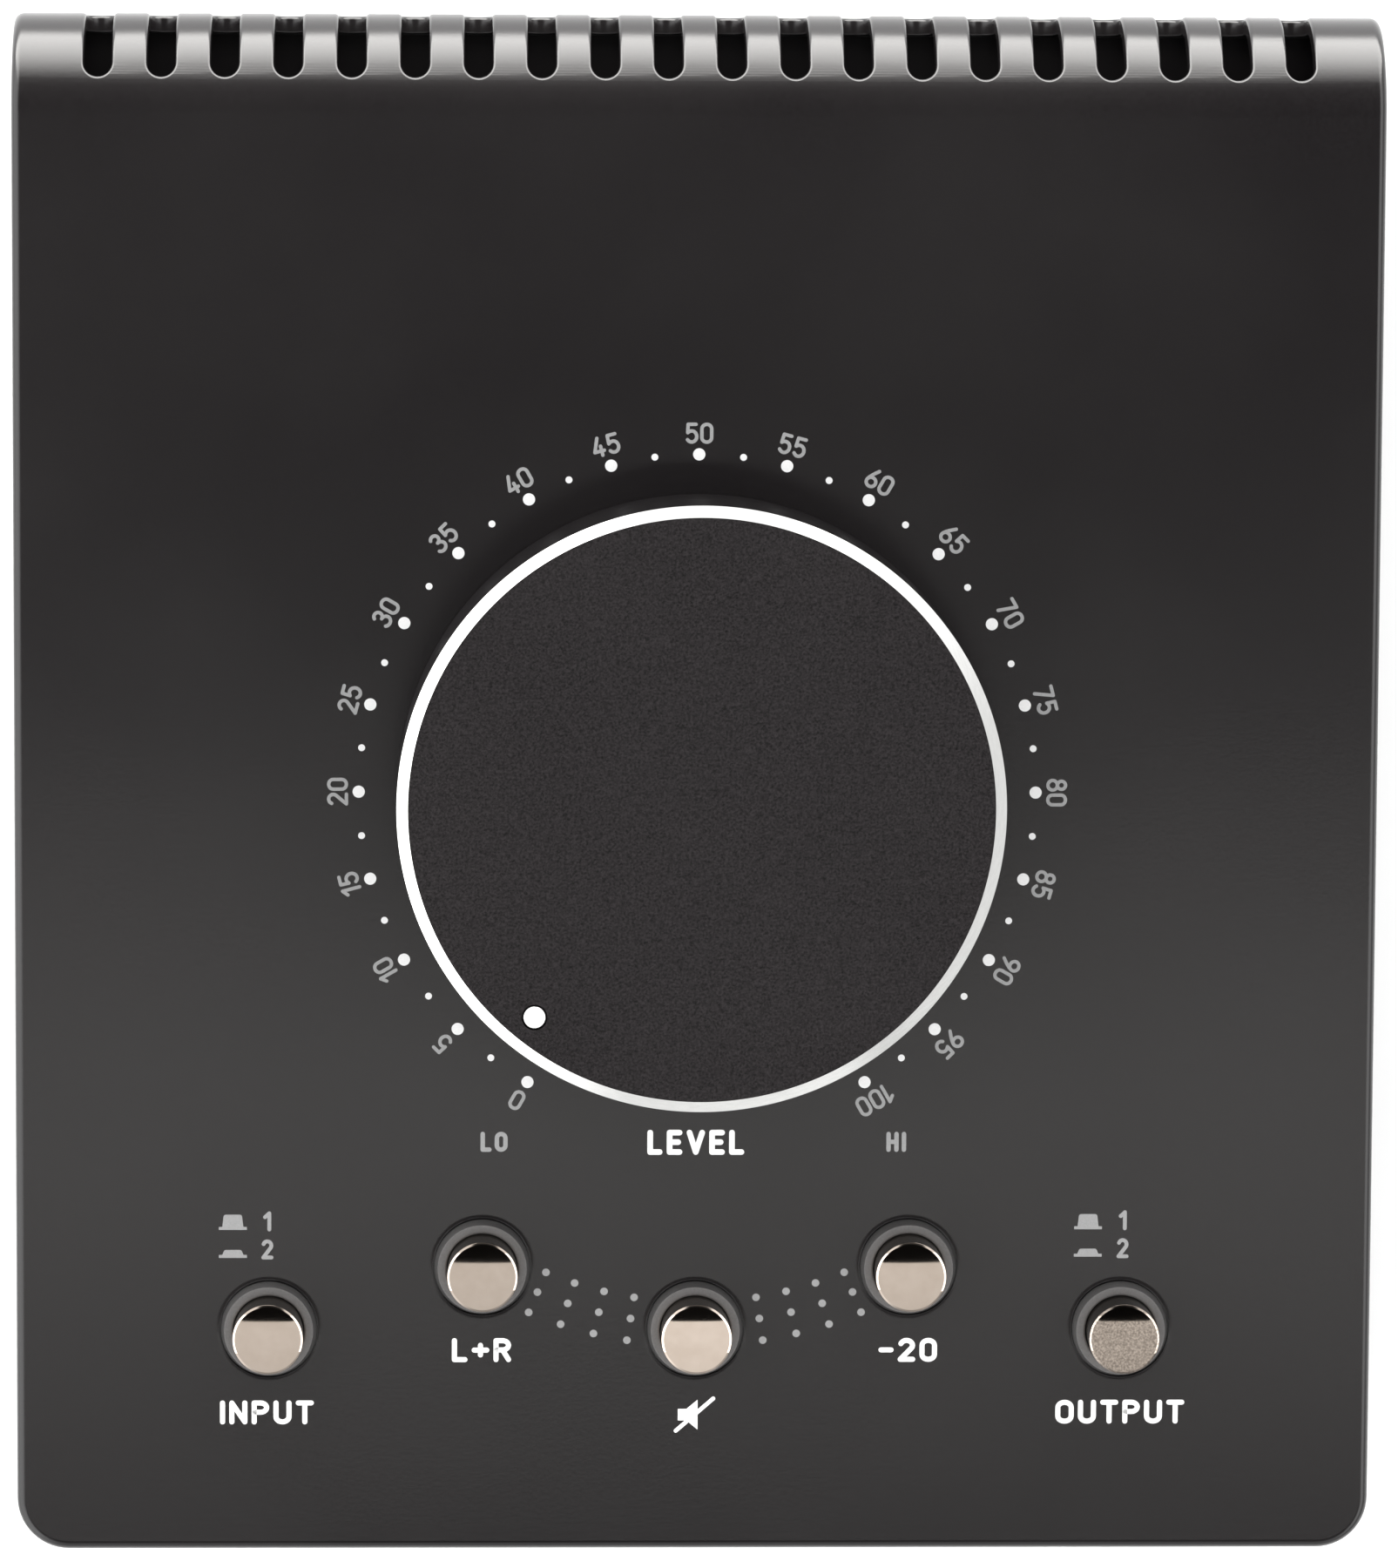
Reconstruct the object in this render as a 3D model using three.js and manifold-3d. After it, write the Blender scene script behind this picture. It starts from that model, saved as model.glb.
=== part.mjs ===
// Desktop studio monitor controller: a sloping painted housing with a row of vents over its
// rear curve, one large level knob, five latching push-buttons and eight jacks at the rear.
// Millimetres, +X right, +Y to the rear, +Z up. The origin is on the table, at the centre
// of the footprint.
import * as THREE from 'three';
import { mergeVertices } from 'three/addons/utils/BufferGeometryUtils.js';
import Module from 'manifold-3d';

const wasm = await Module();
wasm.setup();

// Housing
const width = 134;
const depth = 151.4;
const frontHeight = 36.5;
const panelTilt = 6.6 * Math.PI / 180;
const wall = 1.6;
const frontCornerRadius = 5.1;
const rearCornerRadius = 1.0;
const rearTopRadius = 9.5;
const edgeRadius = 0.9;
const insideFillet = 0.5;

// Clearances
const seatGap = 0.3;
const slideGap = 0.2;
const overrun = 1.0;

// Vents over the rear curve
const ventCount = 20;
const ventWidth = 2.9;
const ventSideInset = 8.36;
const ventLead = 7.0;
const ventDrop = 2.4;

// Dial and knob, heights measured from the panel's face
const dialAhead = 0.64;
const knobRadius = 29.48;
const knobTop = 15.31;
const knobLift = 1.2;
const knobSkin = 2.2;
const knobFace = 2.4;
const knobEdgeIn = 1.1;
const knobEdgeDown = 1.26;
const pointerRadius = 1.05;
const pointerInset = 3.7;
const pointerAngle = -141.3 * Math.PI / 180;
const pointerDepth = 0.6;
const insertLift = 0.6;
const insertRingWall = 1.6;
const insertHubRadius = 6.2;
const insertRib = 1.4;
const insertRibCount = 8;

// Potentiometer
const potRadius = 12;
const potShoulder = 1.4;
const bushingRadius = 4.5;
const bushingReach = 4.6;
const shaftRadius = 3;
const shaftFlat = 0.8;
const shaftSeat = 6;
const washerRadius = 8;
const washerThickness = 0.8;
const potNutFlats = 12;
const potNutThickness = 2.2;

// Push-buttons
const buttonSideInset = 24.8;
const buttonRowInset = 21.9;
const buttonRowStep = 6.2;
const buttonTravel = 3;
const capRadius = 3.4;
const capTop = 6.2;
const capEdge = 0.3;
const capWall = 0.9;
const capCrown = 3;
const capFlangeRadius = 4.0;
const capFlange = 0.8;
const collarTop = 1.3;
const collarRadius = 4.7;
const collarBevel = 0.37;
const collarSkirt = 0.7;
const collarMouth = 0.35;
const collarStemWall = 0.5;
const collarStemReach = 1.6;
const switchSide = 8.4;
const switchHeight = 7.2;
const switchChamfer = 0.8;
const plungerSide = 3;
const plungerEngage = 1.2;

// Boards and wiring
const boardThickness = 1.6;
const boardMargin = 12;
const boardCorner = 2;
const standoffRadius = 3;
const standoffInset = 4.5;
const standoffBore = 1.25;
const standoffBoreDepth = 8;
const ribbonWidth = 22;
const ribbonThickness = 1.2;
const ribbonInset = 4;
const ribbonDip = 9;

// Base
const footHeight = 3.2;
const footRadius = 6.5;
const footTaper = 0.5;
const footSideInset = 17;
const footEndInset = 24;
const plateThickness = 1.5;
const plateRearInset = 0.6;
const bossRadius = 3.5;
const bossSideInset = 7.6;
const bossFrontInset = 8.4;
const bossRearInset = 15.6;
const screwRadius = 1.25;
const screwLength = 10;
const screwHeadRadius = 2.8;
const screwHeadHeight = 1.5;
const screwHeadRound = 0.5;

// Rear panel and jacks
const rearRecess = 5;
const rearPanelThickness = 1.5;
const browDrop = 5;
const grooveRib = 1.5;
const grooveReach = 2;
const jackColumns = 4;
const jackSideInset = 20.5;
const jackRowPitch = 16.2;
const jackSide = 14;
const jackLength = 26;
const jackChamfer = 1.5;
const jackBore = 3.3;
const jackBackWall = 2;
const jackBushing = 4.7;
const jackBushingProud = 3.2;
const jackNutFlats = 13;
const jackNutThickness = 2.2;

// Facets of the round forms
const fineSides = 48;
const roundSides = 20;
const smallSides = 16;
const cornerSteps = 6;
const filletSteps = 3;
const curveSteps = 8;
const ventEndHalves = 4;
const cornerHalves = 2;
const boreSides = 12;
const ribbonSteps = 12;

// Places that follow from the sizes above
const halfWidth = width / 2;
const front = -depth / 2;
const rear = depth / 2;
const rim = footHeight;
const plateTop = rim + plateThickness;
const dialY = -dialAhead;
const dialZ = panelZ(dialY);
const buttonPitch = (halfWidth - buttonSideInset) / 2;
const buttonRowLow = (front + buttonRowInset - dialY) / Math.cos(panelTilt);
const buttonRowHigh = buttonRowLow + buttonRowStep;
const jackPitch = (width - 2 * jackSideInset) / (jackColumns - 1);
const boardTop = -(wall + potDepth());
const switchTop = boardTop + seatGap + switchHeight;
const collarBore = capRadius + slideGap;
const collarStem = collarBore + collarStemWall;
const stemBottom = -(wall + collarStemReach);
const browBottom = rearCurve(0).centreZ - browDrop;
const rearPanelFace = rear - rearRecess;
const rearPanelBack = rearPanelFace - rearPanelThickness;
const rearPanelLow = plateTop + seatGap;
const rearPanelHigh = browBottom - seatGap;
const jackFront = rearPanelBack - seatGap;
const jackEnd = jackFront - jackLength;
const jackMouth = rearPanelFace + jackBushingProud;
const jackBoardBack = jackEnd - seatGap;
const rearPanelMiddle = (rearPanelLow + rearPanelHigh) / 2;
const capBottom = stemBottom - slideGap - capFlange;
const insertLow = bushingReach + insertLift;
const insertHigh = knobTop - knobFace - seatGap;
const screwTip = rim - seatGap + screwLength;
const boardHalf = 2 * buttonPitch + boardMargin;
const boardNear = buttonRowLow - boardMargin;
const boardFar = potRadius + boardMargin;
const pointerReach = knobRadius - pointerInset;
const pointerPlace = {
  x: pointerReach * Math.sin(pointerAngle),
  y: pointerReach * Math.cos(pointerAngle),
};

// The panel's own axes: its origin is the dial's centre on the panel's face
const panelFrame = new THREE.Group();
panelFrame.position.set(0, dialY, dialZ);
panelFrame.rotation.x = panelTilt;
panelFrame.updateMatrix();

const buttonPlaces = ['source', 'mono', 'mute', 'dim', 'monitor'].map((name, i) => ({
  name: `${name}_button`,
  x: (i - 2) * buttonPitch,
  y: i % 2 === 0 ? buttonRowLow : buttonRowHigh,
}));

const bossPlaces = corners(halfWidth - bossSideInset, front + bossFrontInset, rear - bossRearInset);
const footPlaces = corners(halfWidth - footSideInset, front + footEndInset, rear - footEndInset);
const standoffPlaces = corners(boardHalf - standoffInset, boardNear + standoffInset,
  boardFar - standoffInset);

const jackPlaces = ['lower', 'upper'].flatMap((row, j) => {
  const z = rearPanelMiddle + (j - 0.5) * jackRowPitch;
  return Array.from({ length: jackColumns }, (_, i) => ({
    name: `${row}_${i + 1}`,
    x: (i - (jackColumns - 1) / 2) * jackPitch,
    z,
  }));
});

function corners(side, near, far) {
  return [
    { name: 'front_left', x: -side, y: near },
    { name: 'front_right', x: side, y: near },
    { name: 'rear_left', x: -side, y: far },
    { name: 'rear_right', x: side, y: far },
  ];
}

// Height of the panel's face over the table
function panelZ(y, inset = 0) {
  return frontHeight + (y - front) * Math.tan(panelTilt) - inset / Math.cos(panelTilt);
}

// The potentiometer fills the space that the switches and their travel need
function potDepth() {
  const underPanel = capFlange + collarStemReach + slideGap + buttonTravel + slideGap;
  return underPanel + seatGap + switchHeight;
}

// Arc that joins the sloping panel to the upright rear wall
function rearCurve(inset) {
  const radius = Math.max(rearTopRadius - inset, insideFillet);
  const centreY = rear - inset - radius;
  const centreZ = panelZ(centreY, inset) - radius / Math.cos(panelTilt);
  return { radius, centreY, centreZ };
}

function toSolid(geometry) {
  const bare = geometry.clone();
  bare.deleteAttribute('normal');
  bare.deleteAttribute('uv');
  const merged = mergeVertices(bare);
  const vertProperties = new Float32Array(merged.attributes.position.array);
  const triVerts = new Uint32Array(merged.index.array);
  return new wasm.Manifold(new wasm.Mesh({ numProp: 3, vertProperties, triVerts }));
}

function toGeometry(solid) {
  const { vertProperties, triVerts } = solid.getMesh();
  const geometry = new THREE.BufferGeometry();
  geometry.setAttribute('position', new THREE.BufferAttribute(vertProperties, 3));
  geometry.setIndex(new THREE.BufferAttribute(triVerts, 1));
  geometry.computeVertexNormals();
  return geometry;
}

function joined(base, additions) {
  return additions.reduce((solid, tool) => solid.add(toSolid(tool)), base);
}

function cutBy(base, tools) {
  return tools.reduce((solid, tool) => solid.subtract(toSolid(tool)), base);
}

// Revolved about +Z. The profile runs up the outside, in [radius, height] pairs.
function turned(profile, sides) {
  const points = profile.map(([r, z]) => new THREE.Vector2(r, z));
  return new THREE.LatheGeometry(points, sides).rotateX(Math.PI / 2);
}

function rod(radius, low, high, sides = smallSides) {
  return turned([[0, low], [radius, low], [radius, high], [0, high]], sides);
}

function ring(inner, outer, low, high, sides = roundSides) {
  return turned([[inner, low], [outer, low], [outer, high], [inner, high], [inner, low]], sides);
}

function block(x0, x1, y0, y1, z0, z1) {
  const box = new THREE.BoxGeometry(x1 - x0, y1 - y0, z1 - z0);
  return box.translate((x0 + x1) / 2, (y0 + y1) / 2, (z0 + z1) / 2);
}

// Straight prism. Each arc of the shape is drawn with twice as many chords as arcHalves.
function prism(shape, low, high, arcHalves = cornerHalves) {
  const options = { depth: high - low, bevelEnabled: false, curveSegments: arcHalves };
  return new THREE.ExtrudeGeometry(shape, options).translate(0, 0, low);
}

// Rectangle with its own radius at the near and at the far pair of corners
function roundedRectangle(x0, x1, y0, y1, nearRadius, farRadius = nearRadius) {
  const shape = new THREE.Shape();
  shape.moveTo(x0 + nearRadius, y0);
  shape.lineTo(x1 - nearRadius, y0);
  shape.absarc(x1 - nearRadius, y0 + nearRadius, nearRadius, -Math.PI / 2, 0, false);
  shape.lineTo(x1, y1 - farRadius);
  shape.absarc(x1 - farRadius, y1 - farRadius, farRadius, 0, Math.PI / 2, false);
  shape.lineTo(x0 + farRadius, y1);
  shape.absarc(x0 + farRadius, y1 - farRadius, farRadius, Math.PI / 2, Math.PI, false);
  shape.lineTo(x0, y0 + nearRadius);
  shape.absarc(x0 + nearRadius, y0 + nearRadius, nearRadius, Math.PI, 1.5 * Math.PI, false);
  return shape;
}

// Round hole whose flats, not its corners, lie at the radius
function roundHole(x, y, radius, sides = smallSides) {
  const corner = radius / Math.cos(Math.PI / sides);
  const points = Array.from({ length: sides }, (_, i) => {
    const angle = -i / sides * 2 * Math.PI;
    return new THREE.Vector2(x + corner * Math.cos(angle), y + corner * Math.sin(angle));
  });
  return new THREE.Path(points);
}

// Turns a form so that its +Z runs to the rear
function alongY(geometry) {
  return geometry.rotateX(-Math.PI / 2);
}

// Square with its four corners cut off
function chamferedSquare(side, chamfer) {
  const half = side / 2;
  const inner = half - chamfer;
  const corners = [[inner, -half], [half, -inner], [half, inner], [inner, half],
    [-inner, half], [-half, inner], [-half, -inner], [-inner, -half]];
  return new THREE.Shape(corners.map(([x, y]) => new THREE.Vector2(x, y)));
}

function hexagon(acrossFlats, holeRadius) {
  const corner = acrossFlats / 2 / Math.cos(Math.PI / 6);
  const shape = new THREE.Shape();
  for (let i = 0; i < 6; i += 1) {
    const angle = i * Math.PI / 3;
    shape[i === 0 ? 'moveTo' : 'lineTo'](corner * Math.cos(angle), corner * Math.sin(angle));
  }
  shape.holes.push(roundHole(0, 0, holeRadius));
  return shape;
}

// How far a rounded corner of this radius stands back, at a distance in from its edge
function setBack(radius, distance) {
  const inside = Math.max(radius - distance, 0);
  return radius - Math.sqrt(radius * radius - inside * inside);
}

// Skin through equal convex loops, from the front one to the rear one
function loft(loops) {
  const count = loops[0].length;
  const last = (loops.length - 1) * count;
  const index = [];
  for (let i = 0; i < last; i += count) {
    for (let j = 0; j < count; j += 1) {
      const next = (j + 1) % count;
      index.push(i + j, i + count + j, i + count + next);
      index.push(i + j, i + count + next, i + next);
    }
  }
  for (let j = 1; j < count - 1; j += 1) {
    index.push(0, j, j + 1);
    index.push(last, last + j + 1, last + j);
  }
  const geometry = new THREE.BufferGeometry();
  geometry.setAttribute('position', new THREE.Float32BufferAttribute(loops.flat(2), 3));
  geometry.setIndex(index);
  return geometry;
}

// One upright section of the housing: square at the foot, rounded at the two top edges
function housingLoop(y, side, bottom, top, edge) {
  const right = [[side, y, bottom]];
  for (let i = 0; i <= filletSteps; i += 1) {
    const angle = i / filletSteps * Math.PI / 2;
    right.push([side - edge * (1 - Math.cos(angle)), y, top - edge * (1 - Math.sin(angle))]);
  }
  const left = right.map(([x, , z]) => [-x, y, z]);
  return [...right, ...left.reverse()];
}

// The housing's solid form, drawn in by inset on every face but the open bottom
function housingForm(inset, bottom) {
  const corner = Math.max(frontCornerRadius - inset, insideFillet);
  const tail = Math.max(rearCornerRadius - inset, insideFillet);
  const edge = Math.max(edgeRadius - inset, insideFillet);
  const curve = rearCurve(inset);
  const near = front + inset;
  const far = rear - inset;
  const stations = [];
  for (let i = 0; i <= cornerSteps; i += 1) {
    stations.push(near + corner * (1 - Math.cos(i / cornerSteps * Math.PI / 2)));
  }
  for (let i = 0; i <= curveSteps; i += 1) {
    const angle = -panelTilt + i / curveSteps * (Math.PI / 2 + panelTilt);
    stations.push(curve.centreY + curve.radius * Math.sin(angle));
  }
  return loft(stations.map((y) => {
    const side = halfWidth - inset - setBack(corner, y - near) - setBack(tail, far - y);
    const reach = y - curve.centreY;
    const onCurve = reach > -curve.radius * Math.sin(panelTilt);
    const curveTop = curve.centreZ + Math.sqrt(Math.max(curve.radius ** 2 - reach ** 2, 0));
    const slopeTop = panelZ(y, inset) - setBack(edge, y - near);
    return housingLoop(y, side, bottom, onCurve ? curveTop : slopeTop, edge);
  }));
}

// Moves a form from the panel's own axes, at x and y from the dial's centre, into the housing's
function onPanel(geometry, x, y) {
  return geometry.translate(x, y, 0).applyMatrix4(panelFrame.matrix);
}

// A vent runs back through the panel, over the curve and down the rear wall to a round end
function ventTools(x) {
  const half = ventWidth / 2;
  const roundY = rear - ventLead + half;
  const roundZ = rearCurve(0).centreZ - ventDrop + half;
  const slot = new THREE.Shape();
  slot.moveTo(x + half, rear + overrun);
  slot.lineTo(x - half, rear + overrun);
  slot.lineTo(x - half, roundY);
  slot.absarc(x, roundY, half, Math.PI, 2 * Math.PI, false);
  const lowerEnd = alongY(rod(half, rear - wall - overrun, rear + overrun));
  return [
    prism(slot, roundZ, panelZ(rear) + overrun, ventEndHalves),
    lowerEnd.translate(x, 0, roundZ),
  ];
}

function topShell() {
  const outer = toSolid(housingForm(0, rim));
  const inner = toSolid(housingForm(wall, rim - overrun));
  const insideHalf = halfWidth - wall;
  const buried = halfWidth - wall / 2;
  const additions = [
    block(-buried, buried, jackFront, rear - wall / 2, browBottom, browBottom + wall),
  ];
  for (const side of [-1, 1]) {
    for (const ribFront of [rearPanelBack - seatGap - grooveRib, rearPanelFace + seatGap]) {
      const rib = block(insideHalf - grooveReach, buried, ribFront, ribFront + grooveRib,
        plateTop + seatGap, browBottom + wall / 2);
      additions.push(side > 0 ? rib : rib.rotateZ(Math.PI).translate(0, 2 * ribFront + grooveRib, 0));
    }
  }
  for (const { x, y } of bossPlaces) {
    const boss = rod(bossRadius, plateTop + seatGap, panelZ(y, wall / 2));
    additions.push(boss.translate(x, y, 0));
  }
  for (const { x, y } of standoffPlaces) {
    additions.push(onPanel(rod(standoffRadius, boardTop + seatGap, -wall / 2), x, y));
  }
  const tools = [
    block(-insideHalf, insideHalf, rear - wall - overrun, rear + overrun, rim - overrun, browBottom),
    onPanel(rod(bushingRadius + seatGap, -wall - overrun, overrun, roundSides), 0, 0),
  ];
  for (const { x, y } of bossPlaces) {
    const bore = rod(screwRadius + seatGap, rim, screwTip + overrun, boreSides);
    tools.push(bore.translate(x, y, 0));
  }
  for (const { x, y } of standoffPlaces) {
    const boreEnd = boardTop + seatGap + standoffBoreDepth;
    tools.push(onPanel(rod(standoffBore, boardTop, boreEnd, boreSides), x, y));
  }
  for (const { x, y } of buttonPlaces) {
    tools.push(onPanel(rod(collarStem + seatGap, -wall - overrun, overrun, roundSides), x, y));
  }
  const ventSpan = width - 2 * ventSideInset;
  for (let i = 0; i < ventCount; i += 1) {
    tools.push(...ventTools((i / (ventCount - 1) - 0.5) * ventSpan));
  }
  return toGeometry(cutBy(joined(outer.subtract(inner), additions), tools));
}

function basePlate() {
  const side = halfWidth - wall - seatGap;
  const radius = Math.max(frontCornerRadius - wall - seatGap, insideFillet);
  const outline = roundedRectangle(-side, side, front + wall + seatGap, rear - plateRearInset,
    radius, insideFillet);
  for (const { x, y } of bossPlaces) {
    outline.holes.push(roundHole(x, y, screwRadius + seatGap));
  }
  return prism(outline, rim, plateTop);
}

function baseScrew() {
  const seat = rim - seatGap;
  const low = seat - screwHeadHeight;
  return turned([[0, low], [screwHeadRadius - screwHeadRound, low],
    [screwHeadRadius, low + screwHeadRound], [screwHeadRadius, seat], [screwRadius, seat],
    [screwRadius, screwTip], [0, screwTip]], smallSides);
}

function foot() {
  return turned([[0, 0], [footRadius - footTaper, 0], [footRadius, footTaper],
    [footRadius - footTaper, rim - seatGap], [0, rim - seatGap]], roundSides);
}

function rearPanel() {
  const side = halfWidth - wall - seatGap;
  const half = (rearPanelHigh - rearPanelLow) / 2;
  const outline = roundedRectangle(-side, side, -half, half, insideFillet);
  for (const { x, z } of jackPlaces) {
    outline.holes.push(roundHole(x, rearPanelMiddle - z, jackBushing + seatGap));
  }
  return alongY(prism(outline, rearPanelBack, rearPanelFace));
}

function jackBody() {
  const casing = alongY(prism(chamferedSquare(jackSide, jackChamfer), jackEnd, jackFront));
  const bushing = alongY(rod(jackBushing, jackFront - jackBackWall, jackMouth));
  const bore = alongY(rod(jackBore, jackEnd + jackBackWall, jackMouth + overrun));
  return toGeometry(cutBy(joined(toSolid(casing), [bushing]), [bore]));
}

function jackNut() {
  const seat = rearPanelFace + seatGap;
  const outline = hexagon(jackNutFlats, jackBushing + seatGap);
  return alongY(prism(outline, seat, seat + jackNutThickness));
}

function controlBoard() {
  const outline = roundedRectangle(-boardHalf, boardHalf, boardNear, boardFar, boardCorner);
  for (const { x, y } of standoffPlaces) {
    outline.holes.push(roundHole(x, y, standoffBore + seatGap));
  }
  return prism(outline, boardTop - boardThickness, boardTop);
}

function jackBoard() {
  const side = (jackColumns - 1) / 2 * jackPitch + jackSide / 2;
  const half = (jackRowPitch + jackSide) / 2;
  const outline = roundedRectangle(-side, side, -half, half, boardCorner);
  return alongY(prism(outline, jackBoardBack - boardThickness, jackBoardBack));
}

// Flat cable from under the control board to the front of the jack board
function wiringRibbon() {
  const start = new THREE.Vector3(0, boardFar - ribbonInset, boardTop - boardThickness - seatGap);
  const down = start.clone();
  down.z -= ribbonDip;
  start.applyMatrix4(panelFrame.matrix);
  down.applyMatrix4(panelFrame.matrix);
  const endY = jackBoardBack - boardThickness - seatGap;
  const path = new THREE.CubicBezierCurve(
    new THREE.Vector2(start.y, start.z), new THREE.Vector2(down.y, down.z),
    new THREE.Vector2(endY - ribbonDip, rearPanelMiddle), new THREE.Vector2(endY, rearPanelMiddle));
  const upper = [];
  const lower = [];
  for (let i = 0; i <= ribbonSteps; i += 1) {
    const point = path.getPoint(i / ribbonSteps);
    const tangent = path.getTangent(i / ribbonSteps);
    const aside = new THREE.Vector2(-tangent.y, tangent.x).multiplyScalar(ribbonThickness / 2);
    upper.push(point.clone().add(aside));
    lower.push(point.clone().sub(aside));
  }
  const strip = prism(new THREE.Shape([...lower, ...upper.reverse()]), -ribbonWidth / 2, ribbonWidth / 2);
  const across = new THREE.Matrix4().makeBasis(
    new THREE.Vector3(0, 1, 0), new THREE.Vector3(0, 0, 1), new THREE.Vector3(1, 0, 0));
  return strip.applyMatrix4(across);
}

function potWasher() {
  return ring(bushingRadius + seatGap, washerRadius, seatGap, seatGap + washerThickness);
}

function potNut() {
  const seat = seatGap + washerThickness + seatGap;
  return prism(hexagon(potNutFlats, bushingRadius + seatGap), seat, seat + potNutThickness);
}

function potBody() {
  const low = boardTop + seatGap;
  const high = -wall - seatGap;
  const bore = shaftRadius + slideGap;
  return turned([[0, low], [potRadius, low], [potRadius, high - potShoulder],
    [potRadius - potShoulder, high], [bushingRadius, high], [bushingRadius, bushingReach],
    [bore, bushingReach], [bore, high - shaftSeat], [0, high - shaftSeat]], roundSides);
}

// Upright D profile of the shaft, or of the bore that fits it with a gap all round
function shaftSolid(gap, low, flatLow, high) {
  const round = toSolid(rod(shaftRadius + gap, low, high, roundSides));
  const flatX = shaftRadius - shaftFlat + gap;
  const far = shaftRadius + gap + overrun;
  return round.subtract(toSolid(block(flatX, far, -far, far, flatLow, high + overrun)));
}

function potShaft() {
  const low = -wall - seatGap - shaftSeat + seatGap;
  return toGeometry(shaftSolid(0, low, insertLow - seatGap, insertHigh));
}

function knobInsert() {
  const outerRadius = knobRadius - knobSkin - seatGap;
  const innerRadius = outerRadius - insertRingWall;
  const hub = toSolid(rod(insertHubRadius, insertLow, insertHigh, roundSides));
  const outerRing = ring(innerRadius, outerRadius, insertLow, insertHigh, fineSides);
  const ribs = [];
  for (let i = 0; i < insertRibCount; i += 1) {
    const rib = block(insertHubRadius / 2, innerRadius + insertRingWall / 2,
      -insertRib / 2, insertRib / 2, insertLow, insertHigh);
    ribs.push(rib.rotateZ(i / insertRibCount * 2 * Math.PI));
  }
  const bore = shaftSolid(slideGap, insertLow - overrun, insertLow - overrun, insertHigh + overrun);
  return toGeometry(joined(hub, [outerRing, ...ribs]).subtract(bore));
}

function knobCap() {
  const inside = knobRadius - knobSkin;
  const under = knobTop - knobFace;
  const cap = turned([[0, under], [inside, under], [inside, knobLift], [knobRadius, knobLift],
    [knobRadius, knobTop - knobEdgeDown], [knobRadius - knobEdgeIn, knobTop], [0, knobTop]],
  fineSides);
  const dimple = rod(pointerRadius + slideGap, knobTop - pointerDepth - seatGap, knobTop + overrun);
  dimple.translate(pointerPlace.x, pointerPlace.y, 0);
  return toGeometry(cutBy(toSolid(cap), [dimple]));
}

function buttonCap() {
  const bore = capRadius - capWall;
  const boreEnd = capTop - capCrown;
  return turned([[0, boreEnd], [bore, boreEnd], [bore, capBottom], [capFlangeRadius, capBottom],
    [capFlangeRadius, capBottom + capFlange], [capRadius, capBottom + capFlange],
    [capRadius, capTop - capEdge], [capRadius - capEdge, capTop], [0, capTop]], roundSides);
}

function buttonCollar() {
  return turned([[collarBore, stemBottom], [collarStem, stemBottom], [collarStem, seatGap],
    [collarRadius, seatGap], [collarRadius, collarSkirt],
    [collarRadius - collarBevel, collarTop], [collarBore + collarMouth, collarTop],
    [collarBore, collarTop - collarMouth], [collarBore, stemBottom]], roundSides);
}

function switchBody() {
  const body = toSolid(prism(chamferedSquare(switchSide, switchChamfer), boardTop + seatGap, switchTop));
  const half = plungerSide / 2 + slideGap;
  const wellBottom = switchTop - plungerEngage - buttonTravel - slideGap;
  return toGeometry(cutBy(body, [block(-half, half, -half, half, wellBottom, switchTop + overrun)]));
}

function buttonPlunger() {
  const half = plungerSide / 2;
  return block(-half, half, -half, half, switchTop - plungerEngage, capTop - capCrown - seatGap);
}

const finish = {
  housingPaint: { color: 0x2b292a, roughness: 0.42, metalness: 0.25 },
  sheetSteel: { color: 0x232324, roughness: 0.5, metalness: 0.4 },
  zincSteel: { color: 0xa9abad, roughness: 0.35, metalness: 1 },
  rubber: { color: 0x17171a, roughness: 0.9, metalness: 0 },
  blackPlastic: { color: 0x1b1b1c, roughness: 0.5, metalness: 0 },
  greyPlastic: { color: 0x5f5d5c, roughness: 0.55, metalness: 0 },
  whitePlastic: { color: 0xe8e8e6, roughness: 0.5, metalness: 0 },
  boardGreen: { color: 0x1d4a2c, roughness: 0.5, metalness: 0 },
  ribbonGrey: { color: 0x8d8f92, roughness: 0.6, metalness: 0 },
  anodised: { color: 0x302f30, roughness: 0.5, metalness: 0.6 },
  chrome: { color: 0xc8c2b8, roughness: 0.08, metalness: 1 },
  nickel: { color: 0xb9b6ae, roughness: 0.25, metalness: 1 },
};

function addPiece(parent, name, geometry, look, x = 0, y = 0, z = 0) {
  const mesh = new THREE.Mesh(geometry, new THREE.MeshStandardMaterial(look));
  mesh.name = name;
  mesh.position.set(x, y, z);
  parent.add(mesh);
}

const group = new THREE.Group();
group.add(panelFrame);

addPiece(group, 'top_shell', topShell(), finish.housingPaint);
addPiece(group, 'base_plate', basePlate(), finish.sheetSteel);
addPiece(group, 'rear_panel', rearPanel(), finish.sheetSteel, 0, 0, rearPanelMiddle);
addPiece(group, 'jack_board', jackBoard(), finish.boardGreen, 0, 0, rearPanelMiddle);
addPiece(group, 'wiring_ribbon', wiringRibbon(), finish.ribbonGrey);
for (const { name, x, y } of bossPlaces) {
  addPiece(group, `base_screw_${name}`, baseScrew(), finish.zincSteel, x, y);
}
for (const { name, x, y } of footPlaces) {
  addPiece(group, `foot_${name}`, foot(), finish.rubber, x, y);
}
for (const { name, x, z } of jackPlaces) {
  addPiece(group, `jack_${name}`, jackBody(), finish.blackPlastic, x, 0, z);
  addPiece(group, `jack_nut_${name}`, jackNut(), finish.nickel, x, 0, z);
}

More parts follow.
